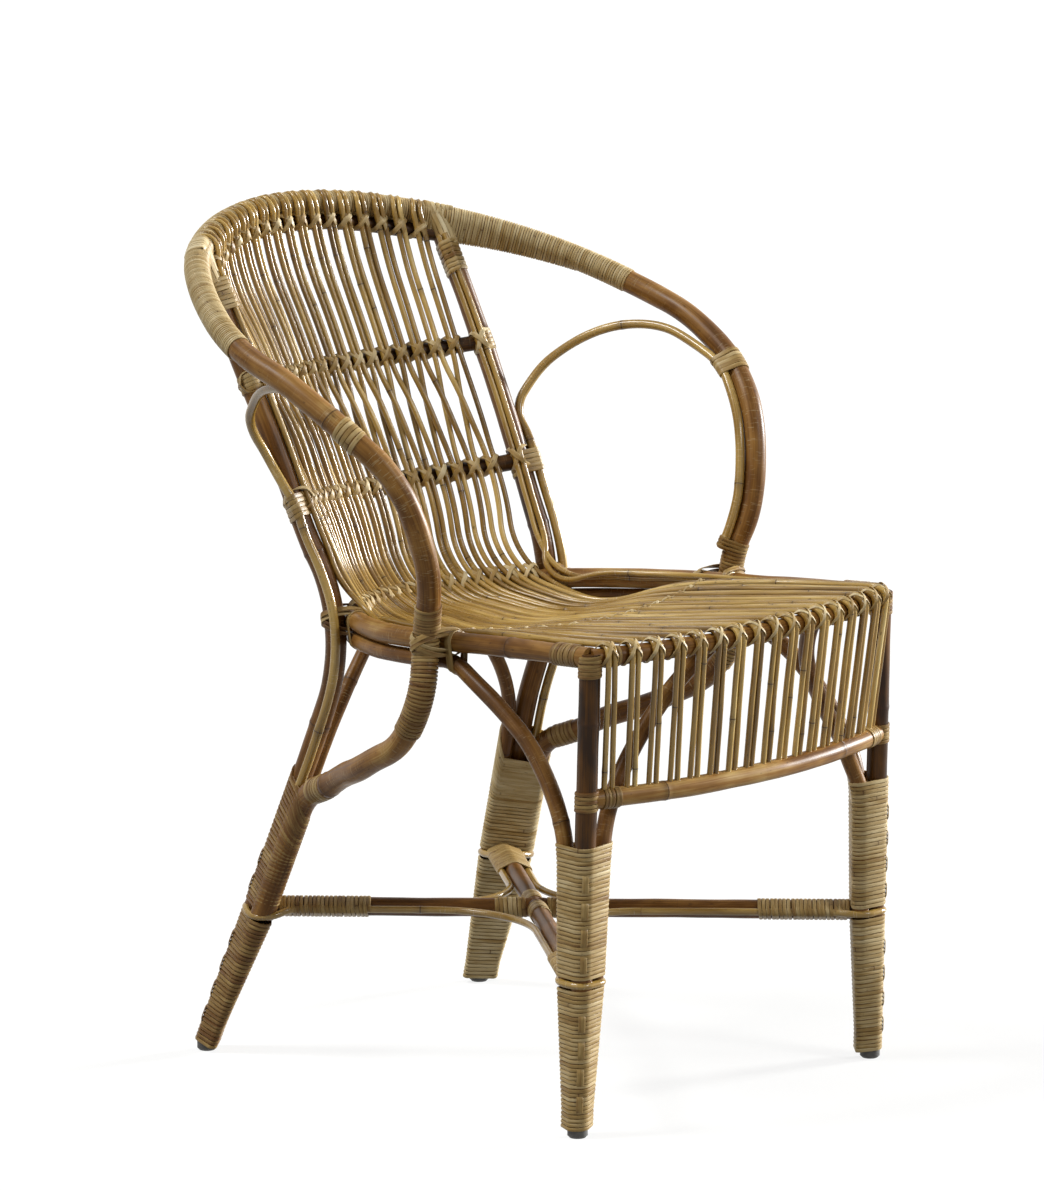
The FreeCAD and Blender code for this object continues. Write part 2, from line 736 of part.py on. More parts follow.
def stretcher_ends(legs):
    """For each leg: its axis at stretcher height, the direction to the crossing and the butt distance."""
    height = size("stretcher_height")
    feet = {key: leg.on_axis(height) for key, leg in legs.items()}
    a, b = feet["front", "left"], feet["rear", "right"]
    share = a.x / (a.x - b.x)
    crossing = a + (b - a) * share
    ends = {}
    for key, foot in feet.items():
        inward = unit(crossing - foot)
        levels = (height - radius("stretcher"), height, height + radius("stretcher"))
        butt = max((c - foot).dot(inward) + r for z in levels for c, r in legs[key].ring(z)) + size("touch_gap")
        ends[key] = (foot, inward, butt)
    return crossing, ends


def make_stretchers(crossing, ends):
    """Two poles crossed in a half lap, butted against the bundles at the legs."""
    lap = size("stretcher_diameter")
    slot_reach = 2 * lap
    for name, far_name, keeps_top in (("left", "right", True), ("right", "left", False)):
        label = f"stretcher_front_{name}"
        foot, inward, butt = ends["front", name]
        far, back, far_butt = ends["rear", far_name]
        head = foot + inward * butt
        tail = far + back * far_butt
        pole = doc.addObject("Part::Cylinder", label + "_pole")
        pole.setExpression("Radius", "Sizes.stretcher_diameter / 2")
        pole.Height = head.distanceToPoint(tail)
        pole.Placement = Placement(head, Rotation(Vector(0, 0, 1), tail - head))
        slot = doc.addObject("Part::Box", label + "_slot")
        slot.Length = 2 * slot_reach
        slot.setExpression("Width", "Sizes.stretcher_diameter + 2 * Sizes.touch_gap")
        slot.setExpression("Height", "Sizes.stretcher_diameter")
        other = ends["front", far_name][1]
        half_gap = size("touch_gap") / 2
        rise = half_gap - lap if keeps_top else -half_gap
        corner = crossing - other * slot_reach - Vector(-other.y, other.x, 0) * (lap / 2 + size("touch_gap"))
        angle = math.degrees(math.atan2(other.y, other.x))
        slot.Placement = Placement(corner + Vector(0, 0, rise), Rotation(Vector(0, 0, 1), angle))
        keep_node(label, cope(label, pole, [slot]))


# Directions in which the star cane is led round a leg, from one side over its back to the other
STAR_TURNS = (-90, -45, 0, 45, 90)


def star_line(crossing, ends, legs):
    """The star cane runs along both sides of each stretcher and round the back of each leg."""
    height = size("stretcher_height")
    beside = radius("stretcher") + radius("star_cane") + size("touch_gap")
    margin = radius("star_cane") + size("star_ease")
    points = []
    tangents = {}

    def pass_through(point, tangent):
        tangents[len(points)] = tangent
        points.append(point)

    order = (("front", "left"), ("rear", "left"), ("rear", "right"), ("front", "right"))
    for key in order:
        foot, inward, _ = ends[key]
        across = Vector(-inward.y, inward.x, 0) * -1
        span = crossing.distanceToPoint(foot)
        circles = legs[key].ring(height)
        leave = span - size("star_leave")
        flare = size("star_flare")
        pass_through(foot + inward * leave - across * beside, inward * -1)
        pass_through(foot + inward * flare - across * beside, inward * -1)
        for degrees in STAR_TURNS:
            turn = math.radians(degrees)
            out = across * math.sin(turn) - inward * math.cos(turn)
            centre, reach = max(circles, key=lambda circle: circle[0].dot(out) + circle[1])
            ahead = across * math.cos(turn) + inward * math.sin(turn)
            pass_through(Vector(centre.x, centre.y, height) + out * (reach + margin), ahead)
        pass_through(foot + inward * flare + across * beside, inward)
        pass_through(foot + inward * leave + across * beside, inward)
    foot, inward, _ = ends[order[0]]
    pass_through(points[0] + inward * size("star_butt_gap"), inward * -1)
    return Bend(points, tangents)


def make_canes(lines):
    """Pairs of canes from the rim, crossed in the back, over the seat and down to the skirt rail."""
    columns = int(size("cane_columns"))
    half = (columns - 1) / 2
    bends = []
    for column in range(columns):
        canes = []
        for hand in (-1, 1):
            upper = (column - half) / half
            crosses = 0 <= column + hand < columns
            lower = (column + hand - half) / half if crosses else upper
            bend = cane_line(lines, upper, hand, lower, -hand if crosses else hand)
            canes.append(sweep(f"cane_{column + 1:02d}_{'l' if hand > 0 else 'r'}", bend, "cane"))
            bends.append(bend)
        keep_node(f"cane_pair_{column + 1:02d}", group(f"cane_pair_{column + 1:02d}", canes))
    return bends


def on_rail(rail, x, hand, lift, reach, keep=None, spread=1.0):
    """A cane's place on a rail: beside its twin, resting on the side that lift points to."""
    twin = hand * spread * (size("cane_diameter") + size("cane_pair_gap")) / 2
    centre, along, _ = rail.at("x", x + twin, keep)
    return centre + square_to(lift, along) * (reach + radius("cane") + size("cane_ease"))


def facing(lines, column):
    """The front of the back's surface at a column, square to its rails and its canes."""
    top, along, _ = lines["upper_rail"].at("x", column * size("fan_upper"))
    low = lines["lower_rail"].at("x", column * size("fan_lower"))[0]
    if along.x < 0:
        along = along * -1
    return unit((low - top).cross(along))


def cane_line(lines, upper, hand, lower, lower_hand):
    """Centre line of one cane; upper and lower are its columns above and below the lattice."""
    front = facing(lines, upper)
    rim = on_rail(lines["arm"], upper * size("fan_top"), hand, front, radius("arm"), on_rim)
    top = on_rail(lines["top_rail"], upper * size("fan_top"), hand, front, radius("top_rail"))
    high = on_rail(lines["upper_rail"], upper * size("fan_upper"), hand, front, radius("upper_rail"))
    front = facing(lines, lower)
    low = on_rail(lines["lower_rail"], lower * size("fan_lower"), lower_hand, front, radius("lower_rail"))
    back = on_rail(lines["seat_hoop"], lower * size("fan_seat_back"), lower_hand, CANE_ON_SEAT_BACK_WAY,
                   radius("seat_hoop"), on_back, 1 + size("cane_corner_spread") * lower * lower)
    front = facing(lines, (upper + lower) / 2)
    middle = (high + low) / 2 + front * (hand * size("lattice_bulge"))
    twin = lower_hand * (size("cane_diameter") + size("cane_pair_gap")) / 2
    dip = Vector(lower * size("fan_dip") + twin, size("seat_dip_y"),
                 size("seat_dip_height") + size("seat_dip_rise") * lower * lower)
    bar = on_rail(lines["crossbar"], lower * size("fan_crossbar"), lower_hand, Vector(0, 0, 1),
                  radius("crossbar"))
    rail, along, _ = lines["front_rail"].at("x", lower * size("fan_front") + twin)
    reach = radius("front_rail") + radius("cane") + size("touch_gap")
    rise = unit(rail + Vector(0, 0, reach) - bar)
    crest = rail + square_to(square_to(Vector(0, 0, 1), rise), along) * reach
    drop = rail + square_to(Vector(0, -1, 0), along) * reach
    skirt_x = lower * size("fan_skirt") + lower_hand * (size("cane_diameter") + size("cane_skirt_gap")) / 2
    skirt = lines["skirt_rail"].at("x", skirt_x)[0]
    socket = skirt + Vector(0, 0, radius("skirt_rail") - size("cane_hole_depth") + size("cane_hole_clearance"))
    fall = unit(socket - drop)
    points = [rim + unit(rim - top) * size("cane_top_rise"), rim, top, high, middle, low, back, dip, bar,
              crest, drop, socket]
    ahead = square_to(Vector(0, -1, 0), unit(crest - rail))
    own_low = on_rail(lines["lower_rail"], upper * size("fan_lower"), hand, front, radius("lower_rail"))
    own_high = on_rail(lines["upper_rail"], lower * size("fan_upper"), lower_hand, front, radius("upper_rail"))
    return Bend(points, {3: own_low - top, 5: back - own_high, 9: ahead, 10: fall, 11: fall})


def make_skirt_rail(lines, leg_rooms, canes):
    """The bowed rail under the skirt of canes, with a blind hole for each cane's end."""
    rail = sweep("skirt_rail", lines["skirt_rail"], "skirt_rail")
    holes = []
    for i, cane in enumerate(canes):
        fall = cane.tangents[-1]
        hole = doc.addObject("Part::Cylinder", f"cane_hole_{i + 1}")
        hole.setExpression("Radius", "(Sizes.cane_diameter + Sizes.cane_hole_clearance) / 2")
        hole.setExpression("Height", "Sizes.skirt_rail_diameter")
        bottom = cane.points[-1] + fall * size("cane_hole_clearance")
        hole.Placement = Placement(bottom, Rotation(Vector(0, 0, 1), fall * -1))
        holes.append(hole)
    keep_node("skirt_rail", cope("skirt_rail", rail, leg_rooms + [group("cane_holes", holes)]))


def make_leg_bindings(legs):
    """Strips wound round each leg and its tails, below and above the stretcher."""
    pitch = size("strip_pitch")
    clear = radius("stretcher") + radius("strip") + size("touch_gap")
    for (end, name), leg in legs.items():
        label = f"{end}_leg_binding_{name}"
        strips = []
        middle = size("stretcher_height")
        reach = max(centre.distanceToPoint(leg.on_axis(middle)) + thick for centre, thick in leg.ring(middle))
        room = clear + reach * math.sqrt(1 - leg.axis.z ** 2)
        for part, start, stop in (("lower", size("binding_foot_height"), middle - room),
                                  ("upper", middle + room, size(f"{end}_binding_height"))):
            turns = min(MOST_TURNS, int((stop - start) / pitch))
            line = bundle_line(leg.ring, leg.axis, start, turns, pitch)
            strips.append(winding(f"{label}_{part}", line, turns))
        keep_node(label, group(label, strips))


def coil(name, bend, diameter, start, away, turns, pitch):
    """A strip wound round one pole from a distance along it, away from or towards its start."""
    reach = radius(diameter) + radius("strip") + size("touch_gap")
    first = start if away > 0 else start - turns * pitch
    return winding(name, coil_line(bend, reach, first, turns, pitch), turns)


def make_arm_bindings(lines):
    """Bindings on the back of each arm, above and below the seat, and the tie of each arm loop."""
    arm = lines["arm"]
    pitch = size("strip_pitch")
    ties = []
    for name, side in SIDES.items():
        def beside(p):
            return abs(p.x - side * size("arm_back_x")) + abs(p.y - size("arm_tie_y"))

        turns = int(size("arm_binding_turns"))
        start = arm.at("y", size("arm_binding_end_y"), lambda p: abs(p.x - side * size("arm_back_x")))[2]
        label = f"arm_binding_{name}"
        keep_node(label, coil(label, arm, "arm", start, side, turns, size("arm_binding_pitch")))

        seat = lines["seat_hoop"].at("y", size("arm_seat_y"), lambda p: -side * p.x)[0]
        clear = radius("seat_hoop") + radius("strip") + 2 * size("touch_gap")
        low = radius("seat_hoop") + size("brace_hoop_diameter") + radius("strip") + 3 * size("touch_gap")
        above = arm.at("z", seat.z + clear, beside)[2]
        below = arm.at("z", seat.z - low, beside)[2]
        label = f"arm_seat_binding_{name}"
        wide = size("seat_binding_pitch")
        strips = [coil(label + "_upper", arm, "arm", above, side, int(size("seat_binding_turns")), wide),
                  coil(label + "_lower", arm, "arm", below, -side, int(size("under_seat_turns")), wide)]
        keep_node(label, group(label, strips))

        turns = int(size("arm_tie_turns"))
        tie = arm.at("z", size("arm_tie_z"), beside)[2]
        axis = arm.along(tie)[1]
        loop = lines["arm_loop", name]

        def ring(distance):
            here = arm.along(distance)[0]
            return [(here, radius("arm")), (loop.beside(here, axis), radius("arm_loop"))]

        line = bundle_line(ring, axis, tie - turns * pitch / 2, turns, pitch)
        ties.append(winding(f"arm_tie_{name}", line, turns))
    keep_node("arm_ties", group("arm_ties", ties))


def make_stretcher_bindings(crossing, ends):
    """Strips round each stretcher with the star cane's strands, and short ones beside the crossing."""
    pitch = size("strip_pitch")
    beside = radius("stretcher") + radius("star_cane") + size("touch_gap")
    outer = []
    inner = []
    for (end, name), (foot, inward, _) in ends.items():
        across = Vector(-inward.y, inward.x, 0)

        def ring(distance):
            here = foot + inward * distance
            pole = (here, radius("stretcher"))
            return [pole, (here + across * beside, radius("star_cane")),
                    pole, (here - across * beside, radius("star_cane"))]

        turns = int(size("stretcher_binding_turns"))
        line = bundle_line(ring, inward, size("stretcher_binding_start"), turns, pitch)
        outer.append(winding(f"stretcher_binding_{end}_{name}", line, turns))
        start = radius("stretcher") + size("strip_diameter") + 3 * size("touch_gap")
        pole = Bend([crossing, foot])
        inner.append(coil(f"centre_binding_{end}_{name}", pole, "stretcher", start, 1,
                          int(size("centre_binding_turns")), pitch))
    keep_node("stretcher_bindings", group("stretcher_bindings", outer))
    keep_node("stretcher_centre_bindings", group("stretcher_centre_bindings", inner))


def make_front_bindings(lines):
    """Short bindings at the front corners of the seat and above the ends of the skirt rail."""
    pitch = size("strip_pitch")
    skirt = []
    hoop = lines["seat_hoop"]
    gap = radius("strip") + 2 * size("touch_gap")
    for name, side in SIDES.items():
        leg = lines["leg", name]
        edge = leg.at("z", size("hoop_front_z"))[0].y + radius("leg") + gap
        start = hoop.at("y", edge, lambda p: -side * p.x)[2]
        label = f"front_corner_binding_{name}"
        rail = coil(label + "_rail", hoop, "seat_hoop", start, side, int(size("corner_rail_turns")), pitch)
        top = leg.at("z", size("hoop_front_z") - radius("seat_hoop") - gap)[2]
        post = coil(label + "_leg", leg, "leg", top, -1, int(size("corner_leg_turns")), pitch)
        keep_node(label, group(label, [rail, post]))
        foot = leg.at("z", size("skirt_rail_height") + radius("skirt_rail") + gap)[2]
        skirt.append(coil(f"skirt_tie_{name}", leg, "leg", foot, 1, int(size("skirt_tie_turns")), pitch))
    keep_node("skirt_rail_ties", group("skirt_rail_ties", skirt))


def write_parts():
    """Check every object and write each node to its own file."""
    doc.recompute()
    for item in doc.Objects:
        if "Invalid" in item.State or "Error" in item.State:
            raise RuntimeError(f"{item.Label} did not build")
    os.makedirs("parts", exist_ok=True)
    for node in nodes:
        if node.Shape.isNull() or not node.Shape.isValid():
            raise RuntimeError(f"{node.Label} has no valid shape")
        node.Shape.exportStep(f"parts/{node.Label}.step")
        print(f"{node.Label}: {len(node.Shape.Solids)} solid(s), {node.Shape.Volume / 1000:.1f} cm3")


fill_sheet()
lines, legs = lay_out()
leg_rooms = make_frame(lines, legs)
make_glides(legs)
crossing, ends = stretcher_ends(legs)
make_stretchers(crossing, ends)
keep_node("stretcher_star_cane", sweep("stretcher_star_cane", star_line(crossing, ends, legs), "star_cane"))
canes = make_canes(lines)
make_skirt_rail(lines, leg_rooms, canes)
make_leg_bindings(legs)
make_arm_bindings(lines)
make_stretcher_bindings(crossing, ends)
make_front_bindings(lines)
write_parts()
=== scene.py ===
import bisect
import random
from math import atan2, ceil, copysign, cos, exp, pi, radians, sin, sqrt

import bpy
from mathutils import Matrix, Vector


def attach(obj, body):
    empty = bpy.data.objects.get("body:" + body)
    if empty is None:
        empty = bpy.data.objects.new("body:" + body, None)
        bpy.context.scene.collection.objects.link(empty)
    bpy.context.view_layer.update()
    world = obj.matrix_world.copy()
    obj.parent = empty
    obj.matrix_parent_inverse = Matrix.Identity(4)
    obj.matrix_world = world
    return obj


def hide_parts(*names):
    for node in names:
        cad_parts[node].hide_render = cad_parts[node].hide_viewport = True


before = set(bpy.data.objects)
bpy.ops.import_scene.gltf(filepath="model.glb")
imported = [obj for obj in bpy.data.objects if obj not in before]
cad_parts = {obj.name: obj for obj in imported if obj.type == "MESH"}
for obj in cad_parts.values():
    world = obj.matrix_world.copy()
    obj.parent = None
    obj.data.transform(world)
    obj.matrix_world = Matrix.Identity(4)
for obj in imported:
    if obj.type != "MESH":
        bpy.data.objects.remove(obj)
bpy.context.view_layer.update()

# Everything is laid out in millimetres and becomes metres when a piece is made.
# +X is the sitter's left and -Y the front of the seat.
MM = 0.001
SIDES = {"left": 1, "right": -1}
X, Y, Z = 0, 1, 2
UP = Vector((0, 0, 1))
# The solids are moved by this much, to stand centred
CENTRE_SHIFT = Vector((0.0, -15.0, 0.0))

DIAMETER = {
    "arm": 20.0, "post": 19.0, "leg": 19.0, "seat_hoop": 18.4, "brace_hoop": 15.0, "front_rail": 17.0,
    "skirt_rail": 17.0, "front_brace": 15.0, "rear_brace": 13.0, "arm_loop": 8.5, "top_rail": 14.0,
    "upper_rail": 14.5, "lower_rail": 15.5, "crossbar": 10.0, "stretcher": 17.0, "star_cane": 6.5,
    "cane": 5.2,
}

# Places that the bent poles pass through, on the sitter's left side
ROUTES = {
    "front_leg": ((198.0, -234.0, 0.0), (195.0, -246.0, 430.0)),
    "rear_leg": ((184.0, 233.0, 0.0), (146.5, 143.0, 262.0)),
    "post": ((146.5, 143.0, 262.0), (142.0, 107.0, 403.0), (149.0, 148.0, 508.0), (154.0, 199.0, 612.0)),
    "arm": (
        (172.0, 80.0, 268.0), (199.0, 15.0, 297.0), (208.0, -37.0, 329.0), (211.0, -60.0, 368.0),
        (203.5, -61.0, 422.0), (218.0, -74.0, 493.0), (240.5, -51.0, 570.0), (256.0, -18.0, 603.0),
        (263.5, 33.5, 635.0), (258.5, 111.5, 665.0), (218.0, 193.0, 698.0), (150.0, 264.0, 724.0),
        (80.0, 300.0, 738.0), (0.0, 314.0, 743.0)),
    "seat_hoop": (
        (195.0, -246.0, 427.5), (187.0, -120.0, 420.5), (170.0, 25.0, 411.0), (149.0, 66.0, 409.0),
        (113.0, 110.0, 406.0), (0.0, 149.0, 401.0)),
    "brace_hoop": ((192.0, -186.0, 322.0), (189.0, -118.0, 378.0)),
    "front_brace": ((160.0, -236.5, 287.0), (127.0, -236.0, 337.0), (92.0, -247.0, 383.0)),
    "arm_loop": (
        (189.0, 164.0, 582.0), (211.0, 137.5, 611.0), (231.0, 101.0, 628.0), (245.0, 60.0, 630.0),
        (247.0, 21.0, 618.0)),
}
# Where the arm passes the seat hoop, about where its middle is, and where its tie and its wrap are
ARM_SEAT_Y = -61.0
ARM_MIDDLE_X = 240.0
ARM_TIE_X, ARM_TIE_HEIGHT = 256.0, 603.0
ARM_WRAP_X, ARM_WRAP_Y = 258.5, 112.0

# The gap between pieces that touch
TOUCH = 0.3

# Heights of the legs' ends, of the rails, and of the tops and tips of the tails laid along the legs
FOOT_HEIGHT = 9.0
LEG_TOP = 431.0
STRETCHER_HEIGHT = 137.0
SKIRT_HEIGHT = 301.0
FRONT_RAIL_HEIGHT = 426.5
UPPER_RAIL_HEIGHT = 612.0
LOWER_RAIL_HEIGHT = 508.0
FRONT_TAIL_TOP = 239.0
ARM_TAIL_TOP = 235.0
REAR_BRACE_TAIL_TOP = 256.0
TAIL_TIP_HEIGHT = 24.0
# Radius of a tail's tip, and how far the front tails stand off the leg at their tops
TAIL_TIP_RADIUS = 3.5
TAIL_SPREAD = 3.6

# Where the posts, the heads of the braces and the ends of the crossbar stand
POST_REACH = 156.0
FRONT_BRACE_HEAD = 67.0
REAR_BRACE_HEAD = 48.0
CROSSBAR_Y = -60.0

# The top rail lies on this side of the rim, this far off
UNDER_RIM = (0, -0.35, -0.94)
TOP_RAIL_GAP = 0.9

# The arm loop's run up the post in eight steps, its angle and gap there, and its run down the arm
LOOP_FOOT, LOOP_RUN, LOOP_STEPS = 277.0, 231.0, 8
LOOP_ANGLE, LOOP_GAP = 48.0, 1.1
LOOP_FALL = 160.0

# The star cane leaves the stretchers this far from their crossing and bends this far from each leg's axis;
# it presses into the leg's bundle, and the stretchers end inside that
STAR_OPEN, STAR_BEND, STAR_NESTLE, STAR_CLOSE = 95.0, 42.0, 0.8, 0.4
BUTT_OVERLAP = 2

# The pairs of canes: their gaps, and half the width of the fan where it crosses each rail
COLUMNS = 17
PAIR_GAP = 0.5
HALF_PAIR = (DIAMETER["cane"] + PAIR_GAP) / 2
SKIRT_PAIR_GAP = 2.4
CANE_LIFT = 1.0
FAN = {"top": 138.0, "upper": 130.0, "lower": 126.0, "seat_back": 117.0, "dip": 124.0, "crossbar": 154.0,
       "front": 181.0, "skirt": 176.0}
LATTICE_DEPTH = 3.0
DIP_Y, DIP_HEIGHT, DIP_RISE = 57.0, 393.0, 5.0
SEAT_BACK_LIFT = Vector((0, -0.67, 0.74))
RIM_TURNS = (78, 54, 27)
RIM_COVER = 1.6


def radius(name):
    return DIAMETER[name] / 2


def apart(one, other, gap=TOUCH):
    """Distance between the centre lines of two stems that lie side by side."""
    return radius(one) + radius(other) + gap


def route(name, side=1):
    return [Vector((side * x, y, z)) for x, y, z in ROUTES[name]]


def mirrored(vector):
    return Vector((-vector.x, vector.y, vector.z))


def square_to(vector, axis):
    """The part of a direction that is square to an axis, as a unit vector."""
    vector = Vector(vector)
    return (vector - axis * vector.dot(axis)).normalized()


def turned(front, side, turn):
    """A direction turned from a front one to a side one."""
    return front * cos(turn) + side * sin(turn)


def leftward(way):
    """A direction along a rail, turned round if it points to the sitter's right."""
    return -way if way.x < 0 else way


class Line:
    """Centre line of a bent pole: pairs of tangent arcs through its places, sampled finely."""

    STEP = 2.5
    STRAIGHT = 1e-4
    STRAIN_REACH = 6

    def __init__(self, stations, leads=None):
        self.places = [Vector(p) for p in stations]
        self.leads = self.smooth_leads(leads or {})
        self.points = [self.places[0]]
        for i in range(len(self.places) - 1):
            self.add_pair(self.places[i], self.leads[i], self.places[i + 1], self.leads[i + 1])
        self.measure()

    def smooth_leads(self, given):
        """Each lead is the direction of the circle through a place and its two neighbours."""
        last = len(self.places) - 1
        runs = [self.places[i + 1] - self.places[i] for i in range(last)]
        result = [None] * (last + 1)
        for i in range(1, last):
            before, after = runs[i - 1], runs[i]
            lead = before * (after.length / before.length) + after * (before.length / after.length)
            result[i] = lead.normalized()
        for i, lead in given.items():
            result[i % (last + 1)] = Vector(lead).normalized()
        for end, near, run in ((0, 1, runs[0]), (last, last - 1, runs[-1])):
            if result[end] is None:
                chord = run.normalized()
                across = result[near] if result[near] is not None else chord
                result[end] = (chord * (2 * chord.dot(across)) - across).normalized()
        return result

    def add_pair(self, start, lead, end, end_lead):
        run = end - start
        chord = run.normalized()
        if chord.cross(lead).length < self.STRAIGHT and chord.cross(end_lead).length < self.STRAIGHT:
            self.add_arc(start, chord, end)
            return
        along = run.dot(lead + end_lead)
        spread = 2 * (1 - lead.dot(end_lead))
        reach = run.dot(run) / (sqrt(along * along + spread * run.dot(run)) + along)
        middle = (start + end + (lead - end_lead) * reach) / 2
        leave = self.add_arc(start, lead, middle)
        self.add_arc(middle, leave, end)

    def add_arc(self, start, lead, end):
        """Points of an arc that starts along a lead; returns its direction at the end."""
        run = end - start
        chord = run.normalized()
        sideways = chord - lead * chord.dot(lead)
        half = atan2(sideways.length, chord.dot(lead))
        steps = max(2, ceil(run.length / self.STEP))
        for step in range(1, steps + 1):
            if half < self.STRAIGHT:
                self.points.append(start + run * (step / steps))
            else:
                turn = 2 * half * step / steps
                bend = run.length / (2 * sin(half))
                aside = sideways.normalized() * (bend * (1 - cos(turn)))
                self.points.append(start + lead * (bend * sin(turn)) + aside)
        return (chord * (2 * chord.dot(lead)) - lead).normalized()

    def measure(self):
        """Distances, directions and untwisted side directions along the points."""
        points = self.points
        self.reach = [0.0]
        for near, far in zip(points, points[1:]):
            self.reach.append(self.reach[-1] + (far - near).length)
        self.ways = [(points[min(i + 1, len(points) - 1)] - points[max(i - 1, 0)]).normalized()
                     for i in range(len(points))]
        hint = UP if abs(self.ways[0].z) < 0.8 else Vector((0, 1, 0))
        side = square_to(hint, self.ways[0])
        self.sides = []
        for way in self.ways:
            side = square_to(side, way)
            self.sides.append(side)

    @property
    def length(self):
        return self.reach[-1]

    def frame(self, distance):
        """Place, direction and two cross directions at a distance; straight on beyond the ends."""
        i = min(max(bisect.bisect_right(self.reach, distance) - 1, 0), len(self.points) - 2)
        share = (distance - self.reach[i]) / (self.reach[i + 1] - self.reach[i])
        here = self.points[i] + (self.points[i + 1] - self.points[i]) * share
        share = min(max(share, 0.0), 1.0)
        way = self.ways[i].lerp(self.ways[i + 1], share).normalized()
        side = square_to(self.sides[i].lerp(self.sides[i + 1], share), way)
        return here, way, side, way.cross(side)

    def strain(self, distance):
        """How sharply the line bends near a distance, per metre."""
        reach = self.STRAIN_REACH
        before = self.frame(max(distance - reach, 0))[1]
        after = self.frame(min(distance + reach, self.length))[1]
        return before.angle(after, 0.0) / (2 * reach) / MM

    def passes(self, heights):
        """Steps of the line that pass through a plane, with the heights of their ends over it."""
        for i, (low, high) in enumerate(zip(heights, heights[1:])):
            if low * high <= 0 and low != high:
                yield i, low, high

    def at(self, axis, value, keep=None):
        """Place, direction and distance where a coordinate takes a value; keep picks one of several."""
        found = []
        for i, low, high in self.passes([p[axis] - value for p in self.points]):
            distance = self.reach[i] + (self.reach[i + 1] - self.reach[i]) * low / (low - high)
            here, way, _, _ = self.frame(distance)
            found.append((here, way, distance))
        return min(found, key=lambda hit: keep(hit[0])) if keep else found[0]

    def beside(self, point, axis):
        """The place nearest to a point among those in the plane square to an axis there."""
        found = [self.points[i] + (self.points[i + 1] - self.points[i]) * (low / (low - high))
                 for i, low, high in self.passes([(p - point).dot(axis) for p in self.points])]
        return min(found, key=lambda p: (p - point).length, default=None)


class Leg:
    """The straight run of a leg with tapered tails of bent poles laid along it."""

    def __init__(self, foot, head, thick):
        self.foot = foot
        self.axis = (head - foot).normalized()
        self.radius = thick
        self.tails = []
        self.side = square_to((1, 0, 0), self.axis)
        self.other = self.axis.cross(self.side)

    def on_axis(self, height):
        return self.foot + self.axis * ((height - self.foot.z) / self.axis.z)

    def add_tail(self, direction, thick, top, spread=0.0):
        self.tails.append((square_to(direction, self.axis), thick, top, spread))

    def tail(self, index, height):
        """Centre and radius of a tail at a height.

        The tail closes on the leg down to the stretchers, and tapers below them.
        """
        direction, thick, top, spread = self.tails[index]
        full = min(max((height - TAIL_TIP_HEIGHT) / (STRETCHER_HEIGHT - TAIL_TIP_HEIGHT), 0.0), 1.0)
        here = TAIL_TIP_RADIUS + (thick - TAIL_TIP_RADIUS) * full
        apart = TOUCH + spread * max((height - STRETCHER_HEIGHT) / (top - STRETCHER_HEIGHT), 0.0)
        return self.on_axis(height) + direction * (self.radius + here + apart), here

    def ring(self, height):
        return [(self.on_axis(height), self.radius)] + [self.tail(i, height) for i in range(len(self.tails))]

    def tail_run(self, index):
        """The straight run of a tail above its taper, and its direction."""
        low, high = self.tail(index, STRETCHER_HEIGHT)[0], self.tail(index, self.tails[index][2])[0]
        return [low, high], (high - low).normalized()


def both_ways(points):
    """A half line on the sitter's left and its mirror image, joined at the middle point."""
    return points + [mirrored(p) for p in reversed(points[:-1])]


def both_leads(leads):
    """The leads of a half line, and those of its mirror image, counted from the other end."""
    return leads | {-1 - i: mirrored(lead) * -1 for i, lead in leads.items()}


def on_rim(p):
    return -p.z


def on_back(p):
    return -p.y


def on_side(side):
    return lambda p: -side * p.x


